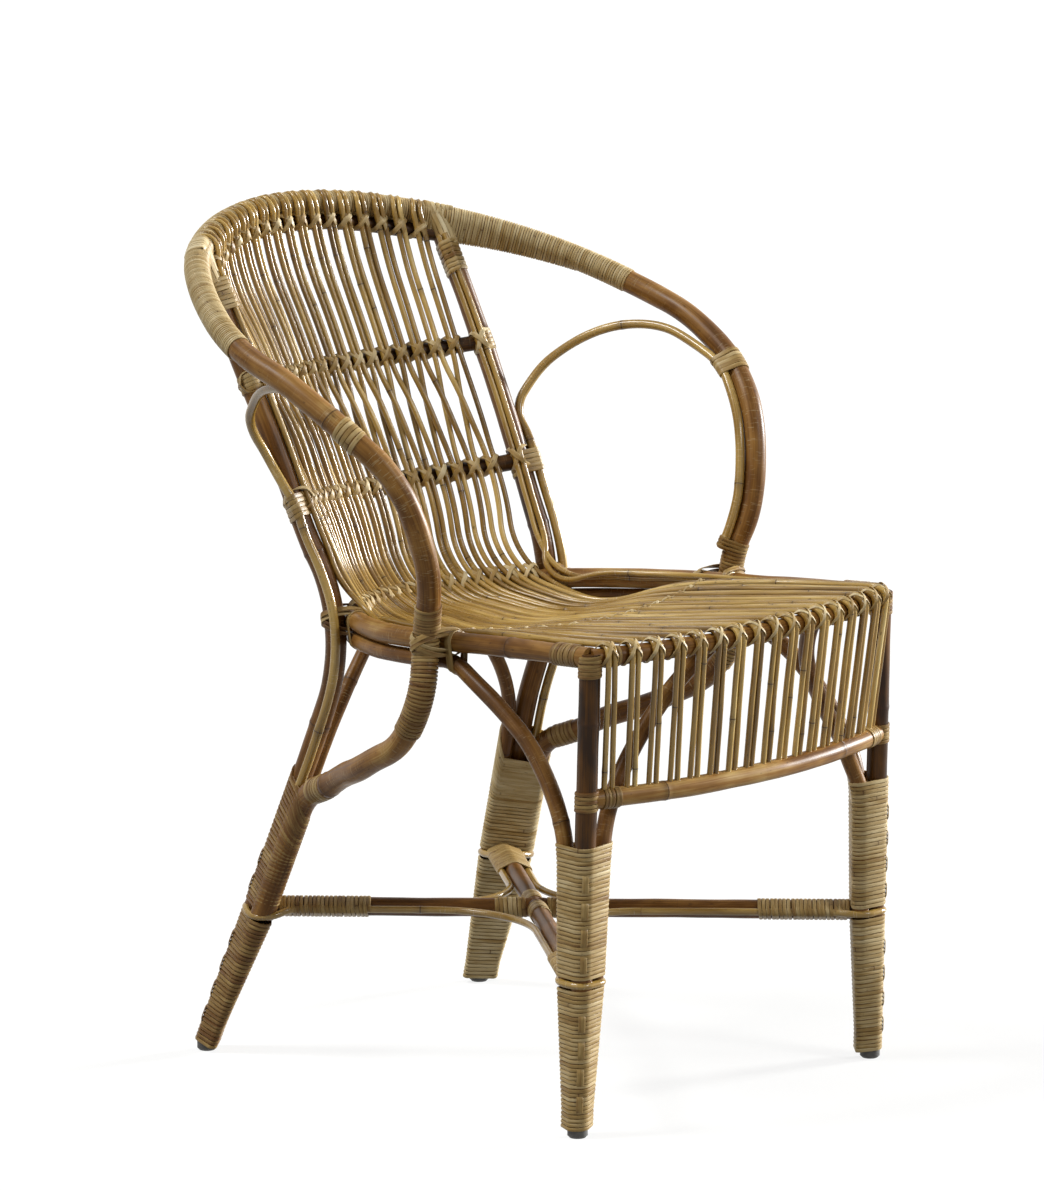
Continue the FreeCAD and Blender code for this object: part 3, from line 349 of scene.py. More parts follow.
def lay_out():
    """Centre lines of the frame, on the same places as the solids."""
    lines, legs = {}, {}
    for name, side in SIDES.items():
        front = Leg(*route("front_leg", side), radius("leg"))
        front.add_tail((0, 1, 0), radius("brace_hoop"), FRONT_TAIL_TOP, TAIL_SPREAD)
        front.add_tail((-side, 0, 0), radius("front_brace"), FRONT_TAIL_TOP, TAIL_SPREAD)
        rear = Leg(*route("rear_leg", side), radius("post"))
        rear.add_tail((0.4 * side, -0.9, 0), radius("arm"), ARM_TAIL_TOP)
        rear.add_tail((-side, 0.1, 0), radius("rear_brace"), REAR_BRACE_TAIL_TOP)
        legs["front", name], legs["rear", name] = front, rear
    front, rear = legs["front", "left"], legs["rear", "left"]

    start, rise = rear.tail_run(0)
    arm = lines["arm"] = Line(both_ways(start + route("arm")), both_leads({0: rise, 1: rise}))

    around = route("seat_hoop")
    hoop = lines["seat_hoop"] = Line(both_ways(around))

    drop = Vector((0, 0, -apart("seat_hoop", "brace_hoop")))
    start, rise = front.tail_run(0)
    by_arm, along, _ = hoop.at(Y, ARM_SEAT_Y, on_side(1))
    points = start + route("brace_hoop") + [p + drop for p in [by_arm] + around[2:]]
    lines["brace_hoop"] = Line(both_ways(points), both_leads({0: rise, 1: rise, 4: along}))

    for name, side in SIDES.items():
        leg = legs["rear", name]
        crown = arm.at(X, side * POST_REACH, on_rim)[0]
        points = [leg.on_axis(FOOT_HEIGHT)] + route("post", side) + [crown]
        lines["post", name] = Line(points, {0: leg.axis, 1: leg.axis})
        leg = legs["front", name]
        lines["leg", name] = Line([leg.on_axis(FOOT_HEIGHT), leg.on_axis(LEG_TOP)])

    # Rails bent in one bow, by how far their middle lies behind their ends and below them
    post = lines["post", "left"]
    for rail, end, bow, sag in (("front_rail", front.on_axis(FRONT_RAIL_HEIGHT), -34.0, 0.0),
                                ("skirt_rail", front.on_axis(SKIRT_HEIGHT), -35.0, 0.0),
                                ("upper_rail", post.at(Z, UPPER_RAIL_HEIGHT)[0], 53.0, 11.0),
                                ("lower_rail", post.at(Z, LOWER_RAIL_HEIGHT)[0], 52.0, 13.0),
                                ("crossbar", hoop.at(Y, CROSSBAR_Y, on_side(1))[0], -29.0, 14.0)):
        lines[rail] = Line(both_ways([end, Vector((0, end.y + bow, end.z - sag))]))
    points = [under_rim(arm, POST_REACH * share) for share in (0.85, 0.6, 0.3, 0.0)]
    lines["top_rail"] = Line(both_ways([post.at(Z, under_rim(arm, POST_REACH).z)[0]] + points))

    for name, side in SIDES.items():
        start, rise = legs["front", name].tail_run(1)
        head = lines["front_rail"].at(X, side * FRONT_BRACE_HEAD)[0]
        lines["front_brace", name] = Line(start + route("front_brace", side) + [head], {0: rise, 1: rise})
        start, rise = legs["rear", name].tail_run(1)
        head = lines["brace_hoop"].at(X, side * REAR_BRACE_HEAD, on_back)[0]
        lines["rear_brace", name] = Line(start + [head], {0: rise, 1: rise})
        lines["arm_loop", name] = arm_loop_line(lines["post", name], arm, side)
    return lines, legs


def under_rim(arm, x):
    """A place on the top rail, tucked in front of and under the rim."""
    rim, along, _ = arm.at(X, x, on_rim)
    return rim + square_to(UNDER_RIM, along) * apart("arm", "top_rail", TOP_RAIL_GAP)


def arm_loop_line(post, arm, side):
    """The loop lies along the post, swings over and runs down the inside of the arm."""
    beside_post = apart("post", "arm_loop", LOOP_GAP)
    beside_arm = apart("arm", "arm_loop")
    stops = [(LOOP_FOOT + LOOP_RUN * step / LOOP_STEPS, LOOP_ANGLE) for step in range(-1, LOOP_STEPS + 1)]
    points = []
    for height, turn in stops + [(527.5, 65.0), (547.0, 82.0)]:
        centre, along, _ = post.at(Z, height)
        swing = radians(turn)
        points.append(centre + square_to((side * sin(swing), -cos(swing), 0), along) * beside_post)
    points += route("arm_loop", side)
    for step in range(8):
        height = ARM_TIE_HEIGHT - LOOP_FALL * step / 7
        centre, along, _ = arm.at(Z, height, lambda p: abs(p.x - side * ARM_TIE_X) + abs(p.y))
        points.append(centre + square_to((-0.9 * side, 0.45, 0), along) * beside_arm)
    return Line(points)


def stretcher_ends(legs):
    """The crossing of the stretchers, and for each leg its axis there, the way in and the butt distance."""
    feet = {key: leg.on_axis(STRETCHER_HEIGHT) for key, leg in legs.items()}
    a, b = feet["front", "left"], feet["rear", "right"]
    crossing = a + (b - a) * (a.x / (a.x - b.x))
    ends = {}
    for key, foot in feet.items():
        inward = (crossing - foot).normalized()
        butt = max((c - foot).dot(inward) + r for c, r in legs[key].ring(STRETCHER_HEIGHT))
        ends[key] = (foot, inward, butt)
    return crossing, ends


def outermost(circles, out):
    """The circle that reaches furthest in a direction."""
    return max(circles, key=lambda c: c[0].dot(out) + c[1])


def star_line(crossing, ends, legs):
    """The star cane runs along both sides of each stretcher and round the back of each leg."""
    beside = apart("stretcher", "star_cane")
    points, leads = [], {}
    order = (("front", "left"), ("rear", "left"), ("rear", "right"), ("front", "right"))
    for key in order:
        foot, inward, _ = ends[key]
        across = Vector((inward.y, -inward.x, 0))
        circles = [(c - foot, r) for c, r in legs[key].ring(STRETCHER_HEIGHT)]
        leave = (crossing - foot).length - STAR_OPEN
        stops = [(inward * s - across * beside, -inward) for s in (leave, STAR_BEND)]
        for degrees in (-90, -45, 0, 45, 90):
            turn = radians(degrees)
            out = turned(-inward, across, turn)
            centre, r = outermost(circles, out)
            stops.append((centre + out * (r - STAR_NESTLE), turned(across, inward, turn)))
        stops += [(inward * s + across * beside, inward) for s in (STAR_BEND, leave)]
        for stop, lead in stops:
            leads[len(points)] = lead
            points.append(foot + stop)
    inward = ends[order[0]][1]
    leads[len(points)] = -inward
    points.append(points[0] + inward * STAR_CLOSE)
    return Line(points, leads)


lines, legs = lay_out()
arm, hoop = lines["arm"], lines["seat_hoop"]
crossing, ends = stretcher_ends(legs)


def stem(part, name=None):
    """Centre line and radius of a part; a part of one side is found by the side's name."""
    return lines[(part, name) if name else part], radius(part)


def arm_swell(s):
    """The arm hoop is one stem, thinner at its left end and thicker at its right."""
    return 0.97 + 0.16 * s / arm.length


def arm_thick(s):
    return radius("arm") * arm_swell(s)


def across_fan(column):
    """A column's place across the fan, from -1 on the sitter's right to 1 on the left."""
    half = (COLUMNS - 1) / 2
    return (column - half) / half


def on_rail(key, x, hand, lift, keep=None, spread=1.0):
    """A cane's place on a rail: beside its twin, resting on the side that lift points to."""
    centre, along, _ = lines[key].at(X, x + hand * spread * HALF_PAIR, keep)
    return centre + square_to(lift, along) * apart(key, "cane", CANE_LIFT)


def facing(share):
    """The front of the back's surface at a place across the fan, square to its rails and its canes."""
    top, along, _ = lines["upper_rail"].at(X, share * FAN["upper"])
    low = lines["lower_rail"].at(X, share * FAN["lower"])[0]
    return (low - top).cross(leftward(along)).normalized()


def rim_place(x, degrees, out):
    """A place over the rim, turned from its front towards its top, and its outward direction."""
    centre, along, _ = arm.at(X, x, on_rim)
    along = leftward(along)
    front = square_to(facing(min(max(x / FAN["top"], -1.0), 1.0)), along)
    up = along.cross(front) * -1
    turn = radians(degrees)
    way = turned(front, up, turn)
    return centre + way * (radius("arm") + out), way


def cane_line(upper, hand, lower, lower_hand):
    """Centre line of one cane; upper and lower are its places across the fan above and below the lattice."""
    front = facing(upper)
    rim = on_rail("arm", upper * FAN["top"], hand, front, on_rim)
    top = on_rail("top_rail", upper * FAN["top"], hand, front)
    high = on_rail("upper_rail", upper * FAN["upper"], hand, front)
    x = upper * FAN["top"] + hand * HALF_PAIR
    over = [rim_place(x, turn, RIM_COVER + radius("cane") * (1 - turn / 60))[0] for turn in RIM_TURNS]
    low = on_rail("lower_rail", lower * FAN["lower"], lower_hand, facing(lower))
    back = on_rail("seat_hoop", lower * FAN["seat_back"], lower_hand, SEAT_BACK_LIFT, on_back,
                   1 + 0.4 * lower * lower)
    front = facing((upper + lower) / 2)
    middle = (high + low) / 2 + front * (hand * LATTICE_DEPTH)
    twin = lower_hand * HALF_PAIR
    dip = Vector((lower * FAN["dip"] + twin, DIP_Y, DIP_HEIGHT + DIP_RISE * lower * lower))
    bar = on_rail("crossbar", lower * FAN["crossbar"], lower_hand, UP)
    rail, along, _ = lines["front_rail"].at(X, lower * FAN["front"] + twin)
    reach = apart("front_rail", "cane")
    rise = (rail + Vector((0, 0, reach)) - bar).normalized()
    crest = rail + square_to(square_to(UP, rise), along) * reach
    drop = rail + square_to((0, -1, 0), along) * reach
    half_gap = (DIAMETER["cane"] + SKIRT_PAIR_GAP) / 2
    skirt = lines["skirt_rail"].at(X, lower * FAN["skirt"] + lower_hand * half_gap)[0]
    fall = (skirt - drop).normalized()
    ahead = square_to((0, -1, 0), (crest - rail).normalized())
    own_low = on_rail("lower_rail", upper * FAN["lower"], hand, front)
    own_high = on_rail("upper_rail", lower * FAN["upper"], lower_hand, front)
    points = over + [rim, top, high, middle, low, back, dip, bar, crest, drop, skirt]
    return Line(points, {5: own_low - top, 7: back - own_high, 11: ahead, 12: fall, 13: fall})


def hang(name, data):
    """A new object in the scene."""
    made = bpy.data.objects.new(name, data)
    bpy.context.scene.collection.objects.link(made)
    return made


class Skin:
    """Gathers swept forms, with the marks that the finishes read, and makes one piece of them.

    grain is the place on the pole as if it were straight, so fibres follow each bend.
    marks are the distance to the nearest node in millimetres, the strain of the bend and the tone.
    """

    SHARP_EDGE = radians(55)

    def __init__(self, name):
        self.rng = random.Random(name)
        self.name = name
        self.points, self.faces, self.grain, self.marks = [], [], [], []

    def add(self, rings, grains, marks):
        """Skins rings of the same count and closes both ends."""
        first, count = len(self.points), len(rings[0])
        for ring, grain, mark in zip(rings, grains, marks):
            self.points += [(p + CENTRE_SHIFT) * MM for p in ring]
            self.grain += [g * MM for g in grain]
            self.marks += [mark] * count
        for row in range(len(rings) - 1):
            near, far = first + row * count, first + (row + 1) * count
            for j in range(count):
                k = (j + 1) % count
                self.faces.append((near + j, near + k, far + k, far + j))
        self.faces.append(tuple(range(first + count - 1, first - 1, -1)))
        last = first + (len(rings) - 1) * count
        self.faces.append(tuple(range(last, last + count)))

    def make(self, material, *nodes):
        finish, slot = material
        mesh = bpy.data.meshes.new(self.name)
        mesh.from_pydata(self.points, [], self.faces)
        for label, values in (("grain", self.grain), ("marks", self.marks)):
            layer = mesh.attributes.new(label, "FLOAT_VECTOR", "POINT")
            layer.data.foreach_set("vector", [c for value in values for c in value])
        mesh.shade_smooth()
        mesh.set_sharp_from_angle(angle=self.SHARP_EDGE)
        mesh.materials.append(finish)
        piece = hang(self.name, mesh)
        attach(piece, "root")
        if nodes:
            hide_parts(*nodes)


def wander(rng, size, wave):
    """A slow, smooth deviation along a length: three sines of random phase."""
    parts = [(size * share, 2 * pi / (wave * stretch), rng.uniform(0, 2 * pi))
             for share, stretch in ((0.6, 1.0), (0.3, 0.43), (0.2, 2.1))]
    return lambda s: sum(a * sin(k * s + phase) for a, k, phase in parts)


def grain_origin(rng):
    """A random place in the grain, so that no two stems or strips have the same streaks."""
    return Vector((rng.uniform(0, 4000), rng.uniform(0, 900), rng.uniform(0, 900)))


# A stem's nodes: extra rings beside each, the width of its ridge, the collar after it and the least
# distance from the last node to the end; and how far a stem's section is from round
NODE_STEPS = (-9.0, -5.0, -2.6, -1.2, -0.45, 0.0, 0.45, 1.2, 2.6, 5.0, 9.0)
NODE_WIDTH = 2.6
COLLAR, COLLAR_AFTER = 0.012, 6
NODE_CLEAR = 12
NO_NODE = 99.0
OVAL = 0.015


def grow(skin, line, thick, tone, sides=16, step=5.0, spans=(150.0, 260.0), swell=0.055, stray=0.25,
         taper=None):
    """A length of rattan along a line: never quite round or straight, and thicker at each node."""
    rng, end = skin.rng, line.length
    nodes = []
    here = rng.uniform(0.2, 0.9) * spans[0]
    while here < end - NODE_CLEAR:
        nodes.append(here)
        here += rng.uniform(*spans)
    count = ceil(end / step)
    stops = {end * i / count for i in range(count + 1)}
    stops |= {n + d for n in nodes for d in NODE_STEPS if 0 < n + d < end}
    aside, up, girth = (wander(rng, *how) for how in ((stray, 140.0), (stray, 170.0), (0.018, 90.0)))
    lean = rng.uniform(0, pi)
    origin = grain_origin(rng)
    shade = wander(rng, 0.12, 400.0)
    rings, grains, marks = [], [], []
    for s in sorted(stops):
        here, _, side, other = line.frame(s)
        near = min((s - n for n in nodes), key=abs, default=NO_NODE)
        here = here + side * aside(s) + other * up(s)
        bulge = swell * exp(-(near / NODE_WIDTH) ** 2)
        bulge += COLLAR * exp(-((near - COLLAR_AFTER) / COLLAR_AFTER) ** 2)
        r = thick * (1 + bulge + girth(s)) * (taper(s) if taper else 1.0)
        ring, grain = [], []
        for j in range(sides):
            turn = 2 * pi * j / sides
            out = turned(side, other, turn)
            ring.append(here + out * (r * (1 + OVAL * cos(2 * (turn - lean)))))
            grain.append(origin + Vector((s, thick * cos(turn), thick * sin(turn))))
        rings.append(ring)
        grains.append(grain)
        marks.append((max(min(near, NO_NODE), -NO_NODE), line.strain(s), tone + shade(s)))
    skin.add(rings, grains, marks)


# Section of a strip, in half widths and thicknesses, and the distances of its first and later node scars
SECTION = ((-1.0, 0.0), (-0.88, 0.72), (0.0, 1.0), (0.88, 0.72), (1.0, 0.0))
FIRST_SCAR, NEXT_SCAR = (60, 500), (180, 620)
SCAR_CLEAR = 15


def lay_strip(skin, rows, width, thick, tone):
    """A flat strip of split cane, domed outside, along rows of (place, outward direction, tone shift)."""
    rng = skin.rng
    origin = grain_origin(rng)
    spot = wander(rng, 0.05, 130.0)
    broad = wander(rng, 0.05, 70.0)
    rings, grains, marks = [], [], []
    gone = 0.0
    scar = rng.uniform(*FIRST_SCAR)
    for i, (here, out, shift) in enumerate(rows):
        ahead = rows[min(i + 1, len(rows) - 1)][0] - rows[max(i - 1, 0)][0]
        if i:
            gone += (here - rows[i - 1][0]).length
        out = square_to(out, ahead.normalized())
        across = out.cross(ahead).normalized()
        half = width / 2 * (1 + broad(gone))
        rings.append([here + across * (half * a) + out * (thick * b) for a, b in SECTION])
        grains.append([origin + Vector((gone, half * a, thick * b)) for a, b in SECTION])
        if gone > scar + SCAR_CLEAR:
            scar += rng.uniform(*NEXT_SCAR)
        marks.append((gone - scar, 0.0, tone + shift + spot(gone)))
    skin.add(rings, grains, marks)


# A strip's usual thickness, the share of turns that are stained, and how many steps at each end dip under
WRAP_THICK = 1.0
STAINED = 0.06
TUCK_STEPS = 3


def wind(skin, bundle, start, stop, pitch, width, tone, thick=WRAP_THICK, per_turn=24, lift=0.05,
         lean=None, unrest=0.12, stain=0.08):
    """A strip wound round a bundle from start to stop; the outer hull of its circles carries the strip.

    lean gives a shift along the bundle for a place and an outward direction, for turns that lie at a slant.
    unrest is how unevenly the turns lie, as a share of the pitch, and stain how much their tones differ.
    """
    rng = skin.rng
    turns = abs(stop - start) / pitch
    steps = ceil(turns * per_turn)
    jogs = [rng.uniform(-unrest, unrest) * pitch for _ in range(ceil(turns) + 2)]
    tints = [rng.gauss(0, stain * 0.6) + (stain * 2.2 if rng.random() < STAINED else 0) for _ in jogs]
    rows = []
    for step in range(steps + 1):
        count, share = divmod(step / per_turn, 1.0)
        near, far = int(count), int(count) + 1
        ease = share * share * (3 - 2 * share)
        s = start + (stop - start) * step / steps + jogs[near] + (jogs[far] - jogs[near]) * ease
        turn = 2 * pi * step / per_turn
        circles, side, other = bundle(s)
        out = turned(side, other, turn)
        if lean:
            circles, side, other = bundle(s + lean(s, out))
            out = turned(side, other, turn)
        centre, r = outermost(circles, out)
        tuck = min(step, steps - step, TUCK_STEPS) / TUCK_STEPS
        rows.append((centre + out * (r + lift - thick * 0.8 * (1 - tuck)), out,
                     tints[near] + (tints[far] - tints[near]) * ease))
    lay_strip(skin, rows, width, thick, tone)


# The under-layer of a closed winding: its width as a share of the pitch, its dark tone, which is painted
# shade for the slits between the turns, its thickness and lift
UNDER_WIDTH, SLIT_SHADE_TONE, UNDER_THICK, UNDER_LIFT = 1.15, 1.05, 0.4, -0.3


def wind_closed(skin, bundle, start, stop, pitch, width, tone, thick, unrest=0.06, **how):
    """A winding over a thin darker one, which closes the slits between its turns; the darker tone is painted
    shade in the slits.
    """
    half = copysign(pitch / 2, stop - start)
    # The dark under-layer is painted shade: it shows only in the slits, where the turns shade each other
    wind(skin, bundle, start + half, stop - half, pitch, pitch * UNDER_WIDTH, SLIT_SHADE_TONE, UNDER_THICK,
         lift=UNDER_LIFT, unrest=0.0, **how)
    wind(skin, bundle, start, stop, pitch, width, tone, thick, unrest=unrest, **how)


# The widest gap that a strip spans between two poles that it ties together
REACH_OVER = 8.0


def gathered(here, way, thick, mates):
    """A pole's circle in the plane square to it, and those of the mates that a strip takes in there."""
    circles = [(here, thick)]
    for mate, mate_thick in mates:
        centre = mate.beside(here, way)
        if centre is not None and (centre - here).length < thick + mate_thick + REACH_OVER:
            circles.append((centre, mate_thick))
    return circles


def along_with(pole, *mates):
    """A bundle to wind round along a pole; the pole and each mate are a line and a radius."""
    line, thick = pole

    def bundle(s):
        here, way, side, other = line.frame(s)
        return gathered(here, way, thick(s) if callable(thick) else thick, mates), side, other
    return bundle


def ribbon(skin, stops, width, thick, tone, fine=5):
    """A strip through a few places with outward directions, smoothed between them."""
    rows = []
    last = len(stops) - 1
    for i in range(last):
        quad = [stops[max(i - 1, 0)], stops[i], stops[i + 1], stops[min(i + 2, last)]]
        for step in range(fine + (i == last - 1)):
            t = step / fine
            weights = (-t ** 3 + 2 * t * t - t, 3 * t ** 3 - 5 * t * t + 2,
                       -3 * t ** 3 + 4 * t * t + t, t ** 3 - t * t)
            here, out = (sum((q[k] * (w / 2) for q, w in zip(quad, weights)), Vector()) for k in (0, 1))
            rows.append((here, out.normalized(), 0.0))
    lay_strip(skin, rows, width, thick, tone)


def cross_lash(skin, centre, along, up, out, rail, held, half, tone, width, thick, doubled=False):
    """Two strips crossed over whatever a rail holds, each led behind the rail on both sides.

    rail is the rail's radius, held the height of what stands on it and half its half width.
    """
    rng = skin.rng
    wide, top = half + width * 0.55, rail + 0.2
    for hand, lift in ((1, 0.0), (-1, thick * 0.95)):
        for shift in ((-0.42, 0.42) if doubled else (0.0,)):
            skew = rng.uniform(-0.6, 0.6)
            # Places along, up and out from the rail's centre on one limb of the X, with outward directions
            limb = [((wide, 0.0, -top), (0.2, 0.0, -1.0)), ((wide, top * 0.8, -top * 0.62), (0.2, 0.8, -0.6)),
                    ((wide, top, top * 0.2), (0.3, 1.0, 0.2)),
                    ((half * 0.96, top * 0.78 + 0.8, rail + held * 0.42), (0.75, 0.55, 0.5)),
                    ((half * 0.5, top * 0.42 + skew, rail + held * 0.93 + lift * 0.6), (0.35, 0.2, 1.0))]
            path = [((-a, u, n), (-x, y, z)) for (a, u, n), (x, y, z) in limb]
            path += [((0.0, skew, rail + held + 0.2 + lift), (0.0, 0.0, 1.0))]
            path += [((a, -u, n), (x, -y, z)) for (a, u, n), (x, y, z) in reversed(limb)]
            stops = [(centre + along * (a * hand) + up * (u + shift * width) + out * n,
                      along * (x * hand) + up * y + out * z) for (a, u, n), (x, y, z) in path]
            ribbon(skin, stops, width * rng.uniform(0.92, 1.06), thick, tone + rng.gauss(0, 0.12))


def linear(hex_colour):
    """An sRGB hex colour as the linear colour that shaders take."""
    channels = [int(hex_colour[i:i + 2], 16) / 255 for i in (1, 3, 5)]
    return [c / 12.92 if c <= 0.04045 else ((c + 0.055) / 1.055) ** 2.4 for c in channels] + [1.0]


def add(finish, kind, inputs=(), stops=(), **settings):
    """Adds a shader node; inputs are values, or outputs of other nodes to link, by socket name or number."""
    made = finish.node_tree.nodes.new("ShaderNode" + kind)
    for name, value in settings.items():
        setattr(made, name, value)
    for i, (position, colour) in enumerate(stops):
        ramp = made.color_ramp.elements
        element = ramp[i] if i < 2 else ramp.new(position)
        element.position, element.color = position, linear(colour)
    for socket, value in dict(inputs).items():
        if isinstance(value, bpy.types.NodeSocket):
            finish.node_tree.links.new(value, made.inputs[socket])
        else:
            made.inputs[socket].default_value = value
    return made


def compute(finish, operation, *values):
    return add(finish, "Math", enumerate(values), operation=operation).outputs[0]


def ranged(finish, *limits):
    """A value taken from one range to another: the value, then the ends of both ranges."""
    return add(finish, "MapRange", enumerate(limits)).outputs[0]


def tinted(finish, share, colour, tint):
    return add(finish, "Mix", {0: share, 6: colour, 7: linear(tint)}, data_type="RGBA").outputs[2]


def noise(finish, vector, scale, detail, **inputs):
    return add(finish, "TexNoise", {"Vector": vector, "Scale": scale, "Detail": detail} | inputs).outputs[0]


def new_finish(name):
    finish = bpy.data.materials.new(name)
    finish.use_nodes = True
    finish.node_tree.nodes.clear()
    return finish


def add_surface(finish, colour, roughness, ior, height, strength, relief, **inputs):
    """The finish's surface, with a bump of the given relief in millimetres."""
    bump = add(finish, "Bump", {"Height": height, "Strength": strength, "Distance": relief * MM}).outputs[0]
    surface = add(finish, "BsdfPrincipled", {"Base Color": colour, "Roughness": roughness, "IOR": ior,
                                             "Normal": bump} | inputs)
    add(finish, "OutputMaterial", {"Surface": surface.outputs[0]})
    return finish


# Length and width of the cracks
CRACK_SIZE = (1.1, 9.0)


def rattan(name, tones, ring, crack, fibre, blotch, fleck, gloss, shine, relief):
    """Rattan in any of its cuts: fibres along the stem, cloudy tone, dark node rings and pale bending cracks.

    tones are colours from the lowest tone to the highest; fibre, blotch and fleck are lengths and widths.
    """
    finish = new_finish(name)
    grain = add(finish, "Attribute", attribute_name="grain").outputs["Vector"]
    marks = add(finish, "Attribute", attribute_name="marks").outputs["Vector"]
    marks = add(finish, "SeparateXYZ", {0: marks}).outputs

    def pattern(size, detail):
        length, width = (1 / (measure * MM) for measure in size)
        spread = add(finish, "VectorMath", {0: grain, 1: (length, width, width)}, operation="MULTIPLY")
        return noise(finish, spread.outputs[0], 1.0, detail, Roughness=0.6)

    fibres, blotches, flecks = pattern(fibre, 3.0), pattern(blotch, 2.0), pattern(fleck, 1.0)
    cracks = pattern(CRACK_SIZE, 1.0)
    mixed = compute(finish, "MULTIPLY_ADD", blotches, 0.8, marks["Z"])
    mixed = compute(finish, "MULTIPLY_ADD", fibres, 0.5, mixed)
    colour = add(finish, "ValToRGB", {0: compute(finish, "SUBTRACT", mixed, 0.65)}, stops=tones).outputs[0]

    # Small dark flecks, where the skin was bruised
    colour = tinted(finish, ranged(finish, flecks, 0.69, 0.76, 0.0, 0.55), colour, ring)

    # A thin dark ring at each node, in a browner band
    away = compute(finish, "ABSOLUTE", marks["X"])
    band = ranged(finish, away, 1.5, 9.0, 0.32, 0.0)
    dark = compute(finish, "MAXIMUM", band, ranged(finish, away, 0.35, 1.1, 0.85, 0.0))
    colour = tinted(finish, dark, colour, ring)

    # Fine pale cracks across the stem where it was bent
    strained = ranged(finish, marks["Y"], 2.5, 7.0, 0.0, 0.3)
    split = compute(finish, "MULTIPLY", ranged(finish, cracks, 0.63, 0.69), strained)
    colour = tinted(finish, split, colour, crack)

    rough = ranged(finish, fibres, 0.25, 0.75, gloss - 0.07, gloss + 0.1)
    height = compute(finish, "MULTIPLY_ADD", dark, -0.6, fibres)
    return add_surface(finish, colour, rough, 1.45, height, 0.5, relief, **{"Specular IOR Level": shine})


def moulded_plastic():
    """Moulded polyethylene: an even, dull grey with the fine grit of the mould."""
    finish = new_finish("moulded_polyethylene")
    spot = add(finish, "TexCoord").outputs["Object"]
    grit = noise(finish, spot, 1 / (1.2 * MM), 2.0)
    dirt = noise(finish, spot, 1 / (7 * MM), 3.0)
    colour = add(finish, "ValToRGB", {0: dirt}, stops=((0.3, "#3a3836"), (0.7, "#55524d"))).outputs[0]
    return add_surface(finish, colour, 0.55, 1.5, grit, 0.3, 0.15)


# Smoked rattan pole with its skin scraped: warm tan with streaks, dark nodes and a satin shine
POLE = rattan(
    "rattan_pole_scraped", ((0.0, "#2a1806"), (0.4, "#6a451b"), (0.65, "#956c36"), (1.0, "#ceb071")),
    ring="#3a2413", crack="#cdb98f", fibre=(70.0, 1.3), blotch=(45.0, 16.0), fleck=(9.0, 4.0),
    gloss=0.36, shine=0.2, relief=0.05), "rattan_pole"
# Thin rattan cane with its glassy skin on: golden straw, glossier, small dark nodes
CANE = rattan(
    "rattan_cane_skin_on", ((0.0, "#4c330c"), (0.4, "#94722f"), (0.75, "#c3a259"), (1.0, "#e8d08f")),
    ring="#3f2a14", crack="#e0cfa2", fibre=(90.0, 0.9), blotch=(60.0, 9.0), fleck=(7.0, 2.2),
    gloss=0.2, shine=0.5, relief=0.012), "thin_cane"
# Split-cane strip, the peeled skin of the stem: pale straw, fine fibres, brown where it is stained
STRIP = rattan(
    "split_cane_peel", ((0.0, "#e4d8b4"), (0.35, "#cab68a"), (0.65, "#a38753"), (1.0, "#684620")),
    ring="#5d4325", crack="#e6dcb9", fibre=(60.0, 0.7), blotch=(30.0, 6.0), fleck=(6.0, 1.8),
    gloss=0.4, shine=0.25, relief=0.06), "binding_strip"


def make_stem(material, name, node, line, thick, tone, **how):
    """A piece that is one stem."""
    skin = Skin(name)
    grow(skin, line, thick, tone, **how)
    skin.make(material, node)


# Poles from side to side: key, node, tone and the least and most between two rings of growth
POLES = (
    ("arm", "arm_hoop", 0.5, (190.0, 280.0)), ("seat_hoop", "seat_hoop", 0.55, (190.0, 290.0)),
    ("brace_hoop", "brace_hoop", 0.42, (170.0, 260.0)), ("front_rail", "front_rail", 0.45, (150.0, 230.0)),
    # The three back rails' low tone 0.15 is painted shade: they are made darker than the other poles for the
    # shade they lie in behind the canes
    ("skirt_rail", "skirt_rail", 0.62, (150.0, 240.0)), ("top_rail", "back_top_rail", 0.15, (130.0, 200.0)),
    ("upper_rail", "back_upper_rail", 0.15, (130.0, 200.0)),
    ("lower_rail", "back_lower_rail", 0.15, (130.0, 200.0)),
    ("crossbar", "seat_crossbar", 0.5, (130.0, 200.0)),
)
# Poles on each side: key, first part of the node's name, and tone
SIDE_POLES = (
    ("post", "back_post", 0.36), ("leg", "front_leg", 0.2), ("front_brace", "front_brace", 0.42),
    ("rear_brace", "rear_brace", 0.4),
)


def make_poles():
    """The bent poles of the frame, the arm loops and the star cane."""
    for key, node, tone, spans in POLES:
        taper = arm_swell if key == "arm" else None
        make_stem(POLE, f"{node}_pole", node, *stem(key), tone, spans=spans, taper=taper)
    for name in SIDES:
        for key, piece, tone in SIDE_POLES:
            make_stem(POLE, f"{piece}_{name}_pole", f"{piece}_{name}", *stem(key, name), tone)
        make_stem(CANE, f"arm_loop_{name}_cane", f"arm_loop_{name}", *stem("arm_loop", name), 0.55, sides=14)
    for name, other in (("left", "right"), ("right", "left")):
        both = (ends["front", name], ends["rear", other])
        line = Line([foot + inward * (butt - BUTT_OVERLAP) for foot, inward, butt in both])
        node = f"stretcher_front_{name}"
        make_stem(POLE, f"{node}_pole", node, line, radius("stretcher"), 0.34, step=6.0)
    line = star_line(crossing, ends, legs)
    make_stem(CANE, "star_cane_strand", "stretcher_star_cane", line, radius("star_cane"), 0.5, sides=14,
              spans=(180.0, 320.0), stray=0.0)


# How the thin canes of the back and seat grow, and the length over which they are split thin at the top
CANE_GROWTH = {"sides": 12, "spans": (140.0, 330.0), "swell": 0.07}
SPLIT_LENGTH = 26.0


